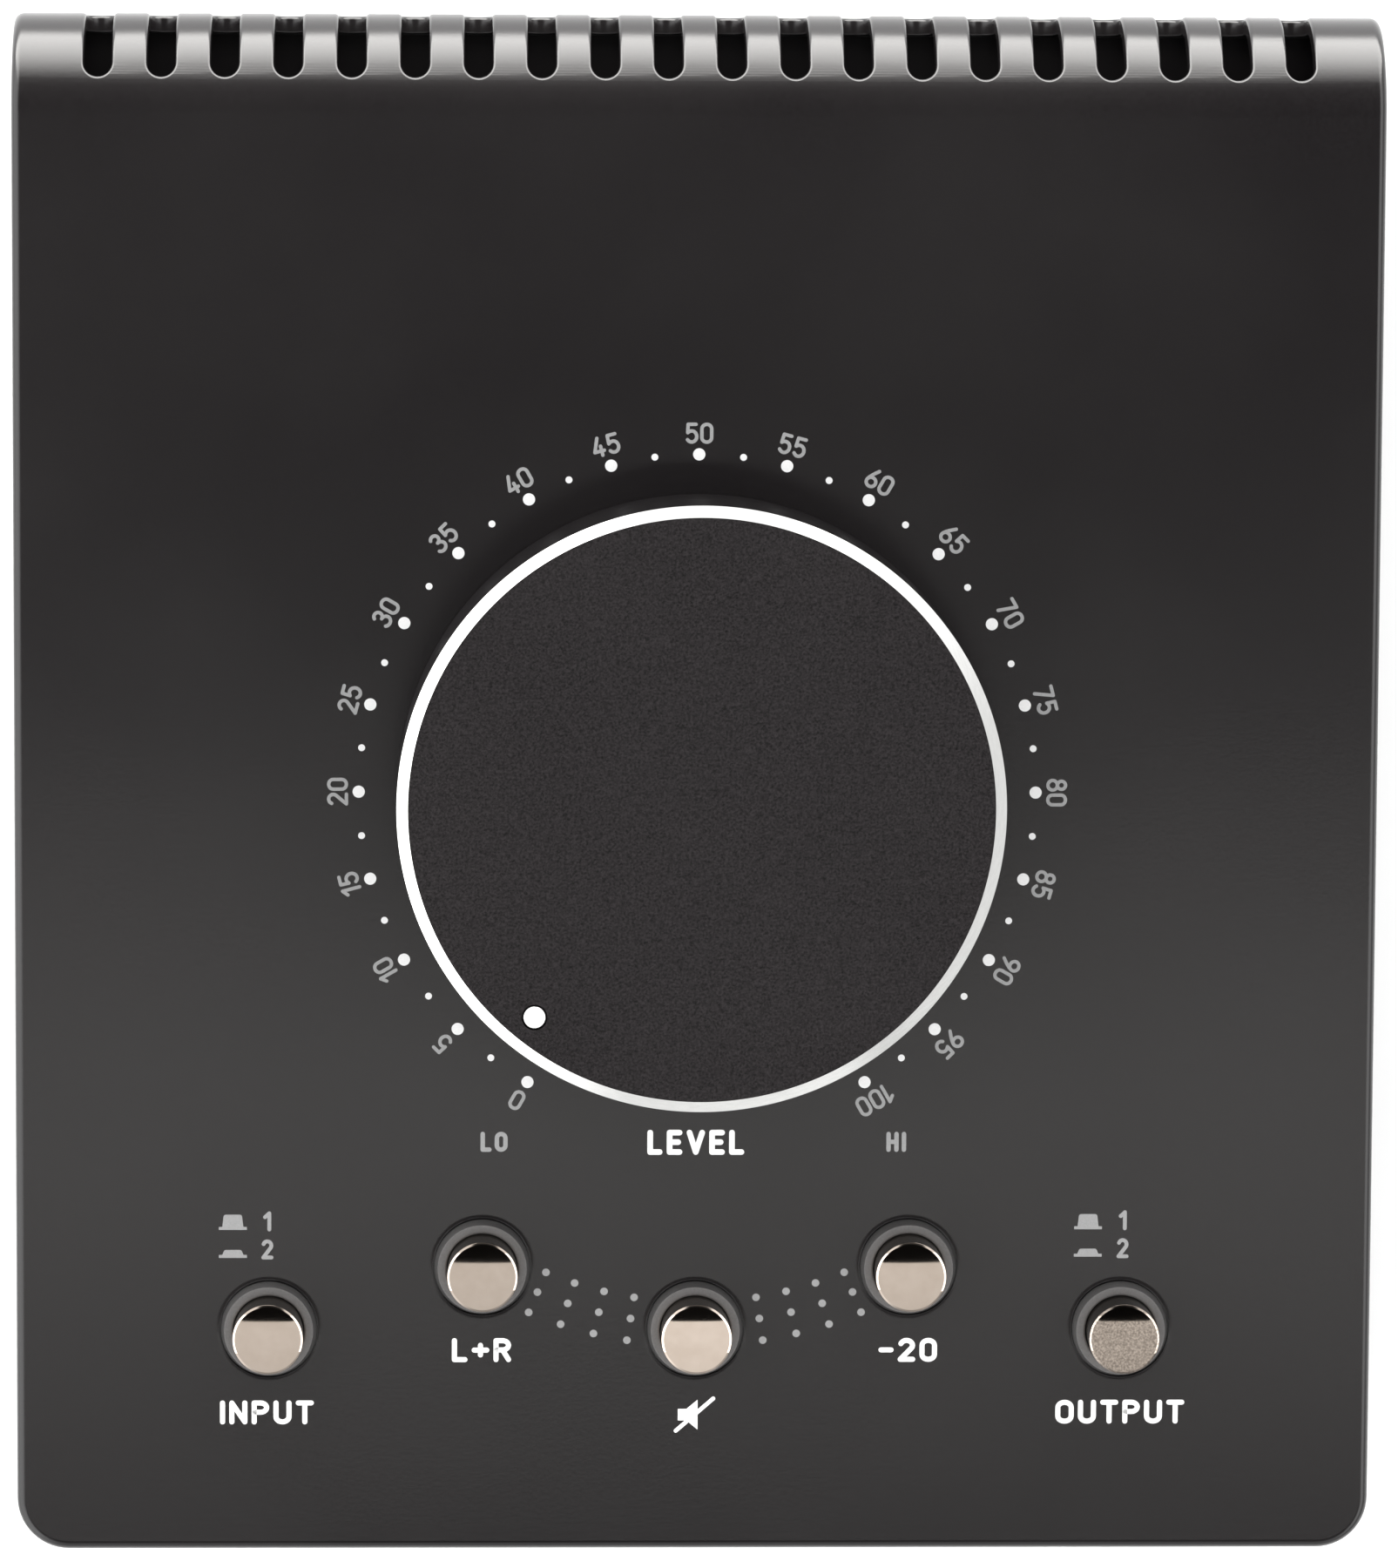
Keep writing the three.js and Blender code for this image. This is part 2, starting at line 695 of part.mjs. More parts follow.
addPiece(panelFrame, 'control_board', controlBoard(), finish.boardGreen);
addPiece(panelFrame, 'pot_body', potBody(), finish.zincSteel);
addPiece(panelFrame, 'pot_washer', potWasher(), finish.zincSteel);
addPiece(panelFrame, 'pot_nut', potNut(), finish.nickel);
addPiece(panelFrame, 'pot_shaft', potShaft(), finish.zincSteel);
addPiece(panelFrame, 'knob_cap', knobCap(), finish.anodised);
addPiece(panelFrame, 'knob_insert', knobInsert(), finish.blackPlastic);
addPiece(panelFrame, 'knob_pointer', rod(pointerRadius, knobTop - pointerDepth, knobTop),
  finish.whitePlastic, pointerPlace.x, pointerPlace.y);
for (const { name, x, y } of buttonPlaces) {
  addPiece(panelFrame, `${name}_cap`, buttonCap(), finish.chrome, x, y);
  addPiece(panelFrame, `${name}_plunger`, buttonPlunger(), finish.whitePlastic, x, y);
  addPiece(panelFrame, `${name}_collar`, buttonCollar(), finish.greyPlastic, x, y);
  addPiece(panelFrame, `${name}_switch`, switchBody(), finish.blackPlastic, x, y);
}

export default group;
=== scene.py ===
import math
import bpy
import bmesh
from mathutils import Matrix, Vector


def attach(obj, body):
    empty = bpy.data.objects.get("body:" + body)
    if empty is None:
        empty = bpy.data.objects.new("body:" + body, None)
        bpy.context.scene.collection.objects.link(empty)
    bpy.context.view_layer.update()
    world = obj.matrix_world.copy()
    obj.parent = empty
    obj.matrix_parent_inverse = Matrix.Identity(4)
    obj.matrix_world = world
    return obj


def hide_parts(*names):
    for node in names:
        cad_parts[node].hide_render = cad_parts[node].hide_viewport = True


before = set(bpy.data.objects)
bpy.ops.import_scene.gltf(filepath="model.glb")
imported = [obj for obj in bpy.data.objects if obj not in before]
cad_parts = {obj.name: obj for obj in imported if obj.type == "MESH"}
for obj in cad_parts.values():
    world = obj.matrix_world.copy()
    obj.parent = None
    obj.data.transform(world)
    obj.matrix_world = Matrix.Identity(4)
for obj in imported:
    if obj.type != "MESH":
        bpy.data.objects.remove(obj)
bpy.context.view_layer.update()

toMetres = 0.001
past = 1.0  # how far a cutter runs beyond what it cuts

# The housing's own sizes, as in the CAD source
case = {
    "halfWidth": 67.0,
    "front": -75.7,
    "rear": 75.7,
    "rim": 3.2,
    "frontHeight": 36.5,
    "tilt": math.radians(6.6),
    "wall": 1.6,
    "frontCorner": 5.1,
    "topCurve": 9.5,
    "edge": 0.9,
    "insideEdge": 0.5,
    "seatGap": 0.3,
    "plateTop": 4.7,
    "panelBack": 69.2,
    "panelFace": 70.7,
    "browDrop": 5.0,
    "dialAhead": 0.64,
}


def panelZ(y, inset=0.0):
    rise = (y - case["front"]) * math.tan(case["tilt"])
    return case["frontHeight"] + rise - inset / math.cos(case["tilt"])


def rearCurve(inset):  # radius, centre y and centre z of the arc over the rear edge
    radius = max(case["topCurve"] - inset, case["insideEdge"])
    centreY = case["rear"] - inset - radius
    return radius, centreY, panelZ(centreY, inset) - radius / math.cos(case["tilt"])


dialY = -case["dialAhead"]
panelPlace = Matrix.Translation((0, dialY, panelZ(dialY))) @ Matrix.Rotation(case["tilt"], 4, "X")
browBottom = rearCurve(0)[2] - case["browDrop"]


def newObject(name, data):
    thing = bpy.data.objects.new(name, data)
    bpy.context.scene.collection.objects.link(thing)
    return thing


def makePiece(name, points, faces, place=None):
    mesh = bpy.data.meshes.new(name)
    mesh.from_pydata([Vector(p) for p in points], [], faces)
    if place is not None:
        mesh.transform(place)
    mesh.transform(Matrix.Scale(toMetres, 4))
    work = bmesh.new()
    work.from_mesh(mesh)
    bmesh.ops.recalc_face_normals(work, faces=work.faces)
    work.to_mesh(mesh)
    work.free()
    return newObject(name, mesh)


def moved(piece, place):  # a place in millimetres goes into the mesh
    for step in (Matrix.Scale(1 / toMetres, 4), place, Matrix.Scale(toMetres, 4)):
        piece.data.transform(step)
    return piece


def bakeModifiers(piece):  # the evaluated shape takes the place of the piece's own mesh
    evaluated = piece.evaluated_get(bpy.context.evaluated_depsgraph_get())
    mesh = bpy.data.meshes.new_from_object(evaluated)
    piece.modifiers.clear()
    piece.data = mesh
    return piece


def carve(piece, tool, operation="DIFFERENCE"):
    modifier = piece.modifiers.new("carve", "BOOLEAN")
    modifier.operation = operation
    modifier.solver = "MANIFOLD"
    modifier.object = tool
    bakeModifiers(piece)
    bpy.data.objects.remove(tool)
    return piece


def soften(piece, angle=32.0):  # smooth over small angles, flats kept flat
    piece.data.shade_smooth()
    piece.data.set_sharp_from_angle(angle=math.radians(angle))
    modifier = piece.modifiers.new("flats", "WEIGHTED_NORMAL")
    modifier.keep_sharp = True
    modifier.weight = 100
    return bakeModifiers(piece)


def merge(pieces, name):
    work = bmesh.new()
    for piece in pieces:
        work.from_mesh(piece.data)
    mesh = bpy.data.meshes.new(name)
    work.to_mesh(mesh)
    work.free()
    for piece in pieces:
        bpy.data.objects.remove(piece)
    return newObject(name, mesh)


# Revolved about +Z from (radius, height) pairs; a profile that leaves the axis is closed on itself
def turned(name, profile, sides=96, place=None):
    solid = profile[0][0] == 0
    points, rows = [], []
    for radius, height in profile:
        if radius == 0:
            rows.append([len(points)] * sides)
            points.append((0, 0, height))
        else:
            rows.append([len(points) + i for i in range(sides)])
            for i in range(sides):
                angle = 2 * math.pi * i / sides
                points.append((radius * math.cos(angle), radius * math.sin(angle), height))
    faces = []
    pairs = list(zip(rows, rows[1:])) + ([] if solid else [(rows[-1], rows[0])])
    for low, high in pairs:
        for i in range(sides):
            j = (i + 1) % sides
            corners = [low[i], low[j], high[j], high[i]]
            face = [c for k, c in enumerate(corners) if c not in corners[:k]]
            if len(face) > 2:
                faces.append(face)
    return makePiece(name, points, faces, place)


# Corner of a turned profile rounded to a small radius, as (radius, height) pairs
def roundedCorner(before, corner, after, radius, steps=4):
    a = (Vector(before) - Vector(corner)).normalized()
    b = (Vector(after) - Vector(corner)).normalized()
    half = a.angle(b) / 2
    reach = radius / math.tan(half)
    centre = Vector(corner) + (a + b).normalized() * (radius / math.sin(half))
    start = Vector(corner) + a * reach - centre
    end = Vector(corner) + b * reach - centre
    start.normalize()
    end.normalize()
    return [tuple(centre + start.slerp(end, i / steps) * radius) for i in range(steps + 1)]


def prism(name, outline, low, high, place=None):
    count = len(outline)
    points = [(x, y, low) for x, y in outline] + [(x, y, high) for x, y in outline]
    faces = [list(range(count))[::-1], list(range(count, 2 * count))]
    faces += [[i, (i + 1) % count, (i + 1) % count + count, i + count] for i in range(count)]
    return makePiece(name, points, faces, place)


def arcPoints(centreX, centreY, radiusX, radiusY, first, last, steps):
    angles = [math.radians(first + (last - first) * i / steps) for i in range(steps + 1)]
    return [(centreX + radiusX * math.cos(a), centreY + radiusY * math.sin(a)) for a in angles]


def roundedBox(x0, x1, y0, y1, radius, steps=8):
    return (arcPoints(x1 - radius, y0 + radius, radius, radius, -90, 0, steps)
            + arcPoints(x1 - radius, y1 - radius, radius, radius, 0, 90, steps)
            + arcPoints(x0 + radius, y1 - radius, radius, radius, 90, 180, steps)
            + arcPoints(x0 + radius, y0 + radius, radius, radius, 180, 270, steps))


def rod(name, x, y, radius, low, high, sides=48, place=None):
    outline = arcPoints(x, y, radius, radius, 0, 360 - 360 / sides, sides - 1)
    return prism(name, outline, low, high, place)


def block(name, x0, x1, y0, y1, z0, z1):
    return prism(name, [(x0, y0), (x1, y0), (x1, y1), (x0, y1)], z0, z1)


alongY = Matrix.Rotation(-math.pi / 2, 4, "X")  # turns +Z to the rear


# Each input takes a plain value or another node's output
def fillInputs(tree, node, inputs):
    for key, value in inputs.items():
        if isinstance(value, bpy.types.NodeSocket):
            tree.links.new(value, node.inputs[key])
        else:
            node.inputs[key].default_value = value


def addNode(tree, kind, inputs=None, **settings):
    node = tree.nodes.new(kind)
    for key, value in settings.items():
        setattr(node, key, value)
    fillInputs(tree, node, inputs or {})
    return node


def calculated(tree, operation, first, second=0.0):
    return addNode(tree, "ShaderNodeMath", {0: first, 1: second}, operation=operation).outputs[0]


def mapped(tree, value, low, high, toLow, toHigh, curve="LINEAR"):
    inputs = {"Value": value, "From Min": low, "From Max": high, "To Min": toLow, "To Max": toHigh}
    return addNode(tree, "ShaderNodeMapRange", inputs, interpolation_type=curve).outputs["Result"]


def newTree(name, kind, inputs, outputs):
    tree = bpy.data.node_groups.new(name, kind)
    for way, sockets in (("INPUT", inputs), ("OUTPUT", outputs)):
        for label, socket in sockets.items():
            tree.interface.new_socket(label, in_out=way, socket_type=f"NodeSocket{socket}")
    return tree, addNode(tree, "NodeGroupInput").outputs, addNode(tree, "NodeGroupOutput").inputs


# A tree that copies a piece to counted places, each at start plus some steps that ways gives
def copyTree(name, start, inputs, ways):
    tree, source, result = newTree(name, "GeometryNodeTree", {
        "Piece": "Geometry", "Count": "Int", start: "Vector", **inputs, "Material": "Material"},
        {"Result": "Geometry"})
    position = source[start]
    for vector, factor in ways(tree, source, addNode(tree, "GeometryNodeInputIndex").outputs[0]):
        way = addNode(tree, "ShaderNodeVectorMath", {"Vector": source[vector], "Scale": factor},
                      operation="SCALE").outputs[0]
        position = addNode(tree, "ShaderNodeVectorMath", {0: position, 1: way},
                           operation="ADD").outputs[0]
    points = addNode(tree, "GeometryNodePoints", {"Count": source["Count"], "Position": position})
    copies = addNode(tree, "GeometryNodeInstanceOnPoints", {"Points": points.outputs[0],
                                                            "Instance": source["Piece"]})
    real = addNode(tree, "GeometryNodeRealizeInstances", {0: copies.outputs[0]})
    paint = addNode(tree, "GeometryNodeSetMaterial", {"Geometry": real.outputs[0],
                                                      "Material": source["Material"]})
    tree.links.new(paint.outputs[0], result["Result"])
    return tree


def rowWays(tree, source, index):  # columns and rows, with a side step on every other column
    nudge = 0.01  # keeps a whole quotient from falling short
    share = calculated(tree, "DIVIDE", calculated(tree, "ADD", index, nudge), source["Columns"])
    row = calculated(tree, "FLOOR", share)
    column = calculated(tree, "SUBTRACT", index, calculated(tree, "MULTIPLY", row, source["Columns"]))
    odd = calculated(tree, "MODULO", column, 2.0)
    return ("Column Step", column), ("Row Step", row), ("Odd Step", odd)


def dialWays(tree, source, index):  # along an arc; angles run clockwise from the far side
    turn = calculated(tree, "MULTIPLY", index, source["Angle Step"])
    angle = calculated(tree, "ADD", source["First Angle"], turn)
    across = calculated(tree, "MULTIPLY", source["Radius"], calculated(tree, "SINE", angle))
    along = calculated(tree, "MULTIPLY", source["Radius"], calculated(tree, "COSINE", angle))
    return ("Right", across), ("Far", along)


inRows = copyTree("spread_in_rows", "First", {
    "Columns": "Int", "Column Step": "Vector", "Row Step": "Vector", "Odd Step": "Vector"}, rowWays)
roundDial = copyTree("spread_round_dial", "Centre", {
    "Radius": "Float", "First Angle": "Float", "Angle Step": "Float", "Right": "Vector",
    "Far": "Vector"}, dialWays)


def repeat(piece, tree, values):
    modifier = piece.modifiers.new("repeat", "NODES")
    modifier.node_group = tree
    names = {s.name: s.identifier for s in tree.interface.items_tree
             if s.item_type == "SOCKET" and s.in_out == "INPUT"}
    for label, value in values.items():
        modifier[names[label]] = value
    return bakeModifiers(piece)


def metres(*values):
    return tuple(v * toMetres for v in values)


def repeatInRows(piece, count, columns, first, columnStep, rowStep=(0, 0, 0), oddStep=(0, 0, 0)):
    return repeat(piece, inRows, {
        "Count": count, "Columns": columns, "First": metres(*first), "Column Step": metres(*columnStep),
        "Row Step": metres(*rowStep), "Odd Step": metres(*oddStep)})


def newGroup(name, inputs, outputs):
    return newTree(name, "ShaderNodeTree", {"Vector": "Vector", **dict.fromkeys(inputs, "Float")},
                   dict.fromkeys(outputs, "Float"))


# Fine grain of a sprayed, blasted or moulded surface: a height, and a shade from 0 to 1
def grainGroup():
    group, source, result = newGroup("fine_grain", ["Per Metre", "Sharpness"], ["Height", "Shade"])
    noise = addNode(group, "ShaderNodeTexNoise", {
        "Vector": source["Vector"], "Scale": source["Per Metre"], "Detail": 2.0,
        "Roughness": source["Sharpness"]}).outputs["Fac"]
    group.links.new(noise, result["Height"])
    group.links.new(mapped(group, noise, 0.32, 0.68, 0.0, 1.0), result["Shade"])
    return group


# Where an edge is rubbed: 1 on a sharp edge, broken up by noise
def edgeGroup():
    group, source, result = newGroup("rubbed_edge", ["Radius", "Patches"], ["Mask"])
    bevel = addNode(group, "ShaderNodeBevel", {"Radius": source["Radius"]}, samples=4)
    surface = addNode(group, "ShaderNodeNewGeometry")
    match = addNode(group, "ShaderNodeVectorMath", {
        0: bevel.outputs["Normal"], 1: surface.outputs["Normal"]}, operation="DOT_PRODUCT")
    noise = addNode(group, "ShaderNodeTexNoise", {"Vector": source["Vector"], "Scale": source["Patches"]})
    edge = mapped(group, match.outputs["Value"], 0.98, 0.8, 0.0, 1.0)
    patch = mapped(group, noise.outputs["Fac"], 0.35, 0.6, 0.3, 1.0)
    group.links.new(calculated(group, "MULTIPLY", edge, patch), result["Mask"])
    return group


# Thin dust and handling: broad soft patches, strongest on faces that look up
def dustGroup():
    group, source, result = newGroup("thin_dust", ["Patches", "Amount"], ["Mask", "Patch"])
    noise = addNode(group, "ShaderNodeTexNoise", {
        "Vector": source["Vector"], "Scale": source["Patches"], "Detail": 4.0})
    surface = addNode(group, "ShaderNodeNewGeometry")
    split = addNode(group, "ShaderNodeSeparateXYZ", {0: surface.outputs["Normal"]})
    patch = mapped(group, noise.outputs["Fac"], 0.35, 0.65, 0.0, 1.0)
    up = mapped(group, split.outputs["Z"], 0.2, 1.0, 0.2, 1.0)
    film = calculated(group, "MULTIPLY", patch, up)
    group.links.new(calculated(group, "MULTIPLY", film, source["Amount"]), result["Mask"])
    group.links.new(patch, result["Patch"])
    return group


grain = grainGroup()
rubbed = edgeGroup()
dust = dustGroup()

# What all the finishes share
surfaces = {
    "rubbedRadius": 0.0003,
    "rubbedPatches": 400.0,
    "dustColour": (0.42, 0.40, 0.38),
    "coatRoughness": 0.12,
}


# One finish: two shades mixed by grain, patches in the gloss, a bump, and optional wear and dust
def newFinish(name, shade, otherShade, roughness, metallic=0.0, grainScale=3000.0, bump=0.0,
              glossPatch=0.04, patchScale=60.0, wear=None, dustAmount=0.0, specular=0.5, coat=0.0,
              stretch=(1, 1, 1), sharpness=0.5, grazing=1.0):
    material = bpy.data.materials.new(name)
    material.use_nodes = True
    tree = material.node_tree
    place = addNode(tree, "ShaderNodeTexCoord").outputs["Object"]
    place = addNode(tree, "ShaderNodeMapping", {"Vector": place, "Scale": stretch}).outputs[0]

    def useGroup(group, values):
        return addNode(tree, "ShaderNodeGroup", {"Vector": place, **values}, node_tree=group).outputs

    def blend(factor, first, second):
        return addNode(tree, "ShaderNodeMix", {0: factor, 6: first, 7: (*second, 1.0)},
                       data_type="RGBA").outputs[2]

    fine = useGroup(grain, {"Per Metre": grainScale, "Sharpness": sharpness})
    colour = blend(fine["Shade"], (*shade, 1.0), otherShade)
    if wear is not None:
        edge = useGroup(rubbed, {"Radius": surfaces["rubbedRadius"], "Patches": surfaces["rubbedPatches"]})
        colour = blend(edge["Mask"], colour, wear)
    film = useGroup(dust, {"Patches": patchScale, "Amount": dustAmount})
    if dustAmount:
        colour = blend(film["Mask"], colour, surfaces["dustColour"])
    gloss = mapped(tree, film["Patch"], 0.0, 1.0, roughness - glossPatch, roughness + glossPatch)
    shader = tree.nodes["Principled BSDF"]
    fillInputs(tree, shader, {
        "Base Color": colour, "Roughness": gloss, "Metallic": metallic, "Specular IOR Level": specular,
        "Specular Tint": (grazing, grazing, grazing, 1.0), "Coat Weight": coat,
        "Coat Roughness": surfaces["coatRoughness"]})
    if bump:
        relief = addNode(tree, "ShaderNodeBump", {"Strength": 1.0, "Distance": bump,
                                                  "Height": fine["Height"]})
        tree.links.new(relief.outputs["Normal"], shader.inputs["Normal"])
    return material


# Smoothing, then the finish
def dress(piece, angle, finish):
    soften(piece, angle)
    piece.data.materials.clear()
    piece.data.materials.append(finish)


finishes = {
    "paint": newFinish("satin_black_paint", (0.0044, 0.0037, 0.0040), (0.0056, 0.0049, 0.0052), 0.22,
                       grainScale=2600.0, bump=0.000004, glossPatch=0.012, patchScale=22.0,
                       wear=(0.03, 0.029, 0.03), dustAmount=0.004),
    "blasted": newFinish("blasted_black_anodising", (0.0008, 0.0004, 0.0004),
                         (0.0152, 0.0128, 0.0137), 0.44, specular=0.25, grainScale=4200.0,
                         bump=0.00004, glossPatch=0.006, sharpness=0.7, dustAmount=0.002),
    "brightCut": newFinish("bright_cut_aluminium", (0.80, 0.80, 0.785), (0.76, 0.76, 0.745), 0.12,
                           metallic=1.0, grainScale=900.0, glossPatch=0.02, stretch=(1, 1, 6)),
    "ring": newFinish("grey_satin_plastic", (0.076, 0.0735, 0.0725), (0.094, 0.0905, 0.0895), 0.36,
                      grainScale=5000.0, bump=0.000006),
    # a darker copy of the ring's grey plastic: painted shade on the ring's outer wall, not a second
    # plastic
    "ringWallShade": newFinish("grey_plastic_painted_shade", (0.047, 0.0455, 0.045), (0.059, 0.057, 0.0565), 0.36,
                          grainScale=5000.0, bump=0.000006),
    "inkWhite": newFinish("white_ink", (0.64, 0.64, 0.635), (0.70, 0.70, 0.69), 0.5, grainScale=9000.0,
                          bump=0.000003),
    "inkDot": newFinish("dial_dot_ink", (0.55, 0.55, 0.55), (0.61, 0.61, 0.605), 0.5, grainScale=9000.0,
                        bump=0.000003),
    "inkGrey": newFinish("grey_ink", (0.19, 0.19, 0.19), (0.235, 0.235, 0.235), 0.55, grainScale=9000.0,
                         bump=0.000003),
    "steel": newFinish("powder_coated_sheet", (0.012, 0.012, 0.0125), (0.02, 0.02, 0.021), 0.5,
                       grainScale=1500.0, bump=0.00006, wear=(0.05, 0.05, 0.05), dustAmount=0.02),
    "rubber": newFinish("moulded_rubber", (0.010, 0.010, 0.010), (0.018, 0.018, 0.018), 0.78,
                        grainScale=2500.0, bump=0.00003, dustAmount=0.05),
    "zinc": newFinish("zinc_plated_steel", (0.52, 0.52, 0.50), (0.62, 0.62, 0.61), 0.3, metallic=1.0,
                      grainScale=700.0, bump=0.000008, glossPatch=0.08, patchScale=300.0),
    "nickel": newFinish("nickel_plating", (0.44, 0.42, 0.38), (0.50, 0.48, 0.44), 0.24, metallic=1.0,
                        grainScale=1200.0, glossPatch=0.05, patchScale=300.0),
    "blackPlastic": newFinish("moulded_black_plastic", (0.012, 0.012, 0.012), (0.02, 0.02, 0.02), 0.45,
                              grainScale=2800.0, bump=0.00001, dustAmount=0.02),
    "whitePlastic": newFinish("white_nylon", (0.72, 0.71, 0.68), (0.80, 0.79, 0.77), 0.5,
                              grainScale=2000.0, bump=0.000008),
    "board": newFinish("green_solder_mask", (0.012, 0.075, 0.028), (0.016, 0.10, 0.036), 0.3,
                       grainScale=900.0, bump=0.00001, glossPatch=0.06, patchScale=150.0, coat=0.4),
    "ribbon": newFinish("grey_ribbon_cable", (0.22, 0.22, 0.23), (0.34, 0.34, 0.35), 0.55,
                        grainScale=900.0, bump=0.00005, stretch=(1.0, 0.03, 0.03)),
}
print("finishes made")

shell = {
    "cornerSteps": 14,
    "edgeSteps": 6,
    "arcSteps": 64,
    "leastCorner": 0.05,
    "bossRadius": 3.5,
    "bosses": [(-59.4, -67.3), (59.4, -67.3), (-59.4, 60.1), (59.4, 60.1)],
    "bossBore": 1.55,
    "bossBoreTop": 13.9,
    "standoffRadius": 3.0,
    "standoffs": [(-49.7, -61.0), (49.7, -61.0), (-49.7, 19.5), (49.7, 19.5)],
    "standoffLow": -14.6,
    "standoffBore": {"radius": 1.25, "low": -15.9, "high": -6.6},
    "ribReach": 2.0,
    "ribThick": 1.5,
    "bushingHole": 4.8,
    "ringHole": 4.4,
    "ringSeat": 4.88,
    "ringSeatDepth": 0.6,
    "dishRadius": 5.3,
    "dishDepth": 0.04,
    "dishSteps": 6,
    "dishLip": 0.003,
    "ventCount": 20,
    "ventFirst": -58.64,
    "ventHalf": 1.36,
    "ventRound": 0.35,
    "ventNear": 68.95,
    "ventDrop": 2.4,
    "ventFlare": math.radians(75),
    "ventOver": 0.12,
    "ventEndSteps": 16,
    "ventSideSteps": 44,
}


# Closed form of the housing, drawn in by inset, with every upper edge rounded to edge
def housingForm(name, inset, edge, bottom):
    tilt = case["tilt"]
    radius, centreY, centreZ = rearCurve(inset)
    side, near = case["halfWidth"] - inset - edge, case["front"] + inset + edge
    corner = max(case["frontCorner"] - inset - edge, shell["leastCorner"])
    slopeUp = Vector((0, -math.sin(tilt), math.cos(tilt)))
    sideways = Vector((1, 0, 0))
    stations = [(Vector((side, case["rear"] - inset - edge, bottom)), sideways, Vector((0, 1, 0)))]
    for i in range(shell["arcSteps"] + 1):
        angle = math.pi / 2 - i / shell["arcSteps"] * (math.pi / 2 + tilt)
        up = Vector((0, math.sin(angle), math.cos(angle)))
        stations.append((Vector((side, centreY, centreZ)) + up * (radius - edge), sideways, up))
    lastOfSide = len(stations)
    for i in range(shell["cornerSteps"] + 1):
        angle = i / shell["cornerSteps"] * math.pi / 2
        y = near + corner * (1 - math.sin(angle))
        spot = Vector((side - corner * (1 - math.cos(angle)), y, panelZ(y, inset + edge)))
        stations.append((spot, Vector((math.cos(angle), -math.sin(angle), 0)), slopeUp))
    steps = shell["edgeSteps"]
    points, faces = [], []

    def addStrip(side, spot, out, up):  # the rounded edge at one station, on the right or the left
        first = len(points)
        for j in range(steps + 1):
            point = spot + out.slerp(up, j / steps) * edge
            points.append(Vector((side * point.x, point.y, point.z)))
        return list(range(first, len(points)))

    def addFoot(strip):
        points.append(Vector((*points[strip[0]].xy, bottom)))
        return len(points) - 1

    right, left = ([addStrip(way, *station) for station in stations] for way in (1, -1))
    rightFeet, leftFeet = ([addFoot(strip) for strip in strips[lastOfSide:]] for strips in (right, left))
    for strips, way in ((right, 1), (left, -1)):
        for a, b in zip(strips, strips[1:]):
            faces += [[a[j], a[j + 1], b[j + 1], b[j]][::way] for j in range(steps)]
    for k in range(lastOfSide - 1):
        faces.append([right[k][-1], right[k + 1][-1], left[k + 1][-1], left[k][-1]])
    faces.append([s[-1] for s in right[lastOfSide - 1:]] + [s[-1] for s in left[lastOfSide - 1:]][::-1])
    for strips, feet in ((right, rightFeet), (left, leftFeet)):
        faces.append([s[0] for s in strips[:lastOfSide + 1]] + [feet[0]])
        for k in range(len(feet) - 1):
            faces.append([strips[lastOfSide + k][0], strips[lastOfSide + k + 1][0], feet[k + 1], feet[k]])
    for j in range(steps):
        faces.append([right[-1][j], right[-1][j + 1], left[-1][j + 1], left[-1][j]])
    faces.append([right[-1][0], left[-1][0], leftFeet[-1], rightFeet[-1]])
    faces.append(right[0] + left[0][::-1] + leftFeet + rightFeet[::-1])
    piece = makePiece(name, points, faces)
    tiny = 1e-7  # metres
    work = bmesh.new()
    work.from_mesh(piece.data)
    bmesh.ops.remove_doubles(work, verts=work.verts, dist=tiny)
    bmesh.ops.dissolve_degenerate(work, edges=work.edges, dist=tiny)
    bmesh.ops.recalc_face_normals(work, faces=work.faces)
    work.to_mesh(piece.data)
    work.free()
    return piece


# Point on the housing's surface: along is the way from the start of the arc, deep is under the face
def onRearCurve(x, along, deep):
    radius, centreY, centreZ = rearCurve(0)
    tilt = case["tilt"]
    arcLength = radius * (math.pi / 2 + tilt)
    angle = min(along, arcLength) / radius - tilt
    drop = max(along - arcLength, 0)
    reach = radius - deep
    return (x, centreY + reach * math.sin(angle), centreZ + reach * math.cos(angle) - drop)


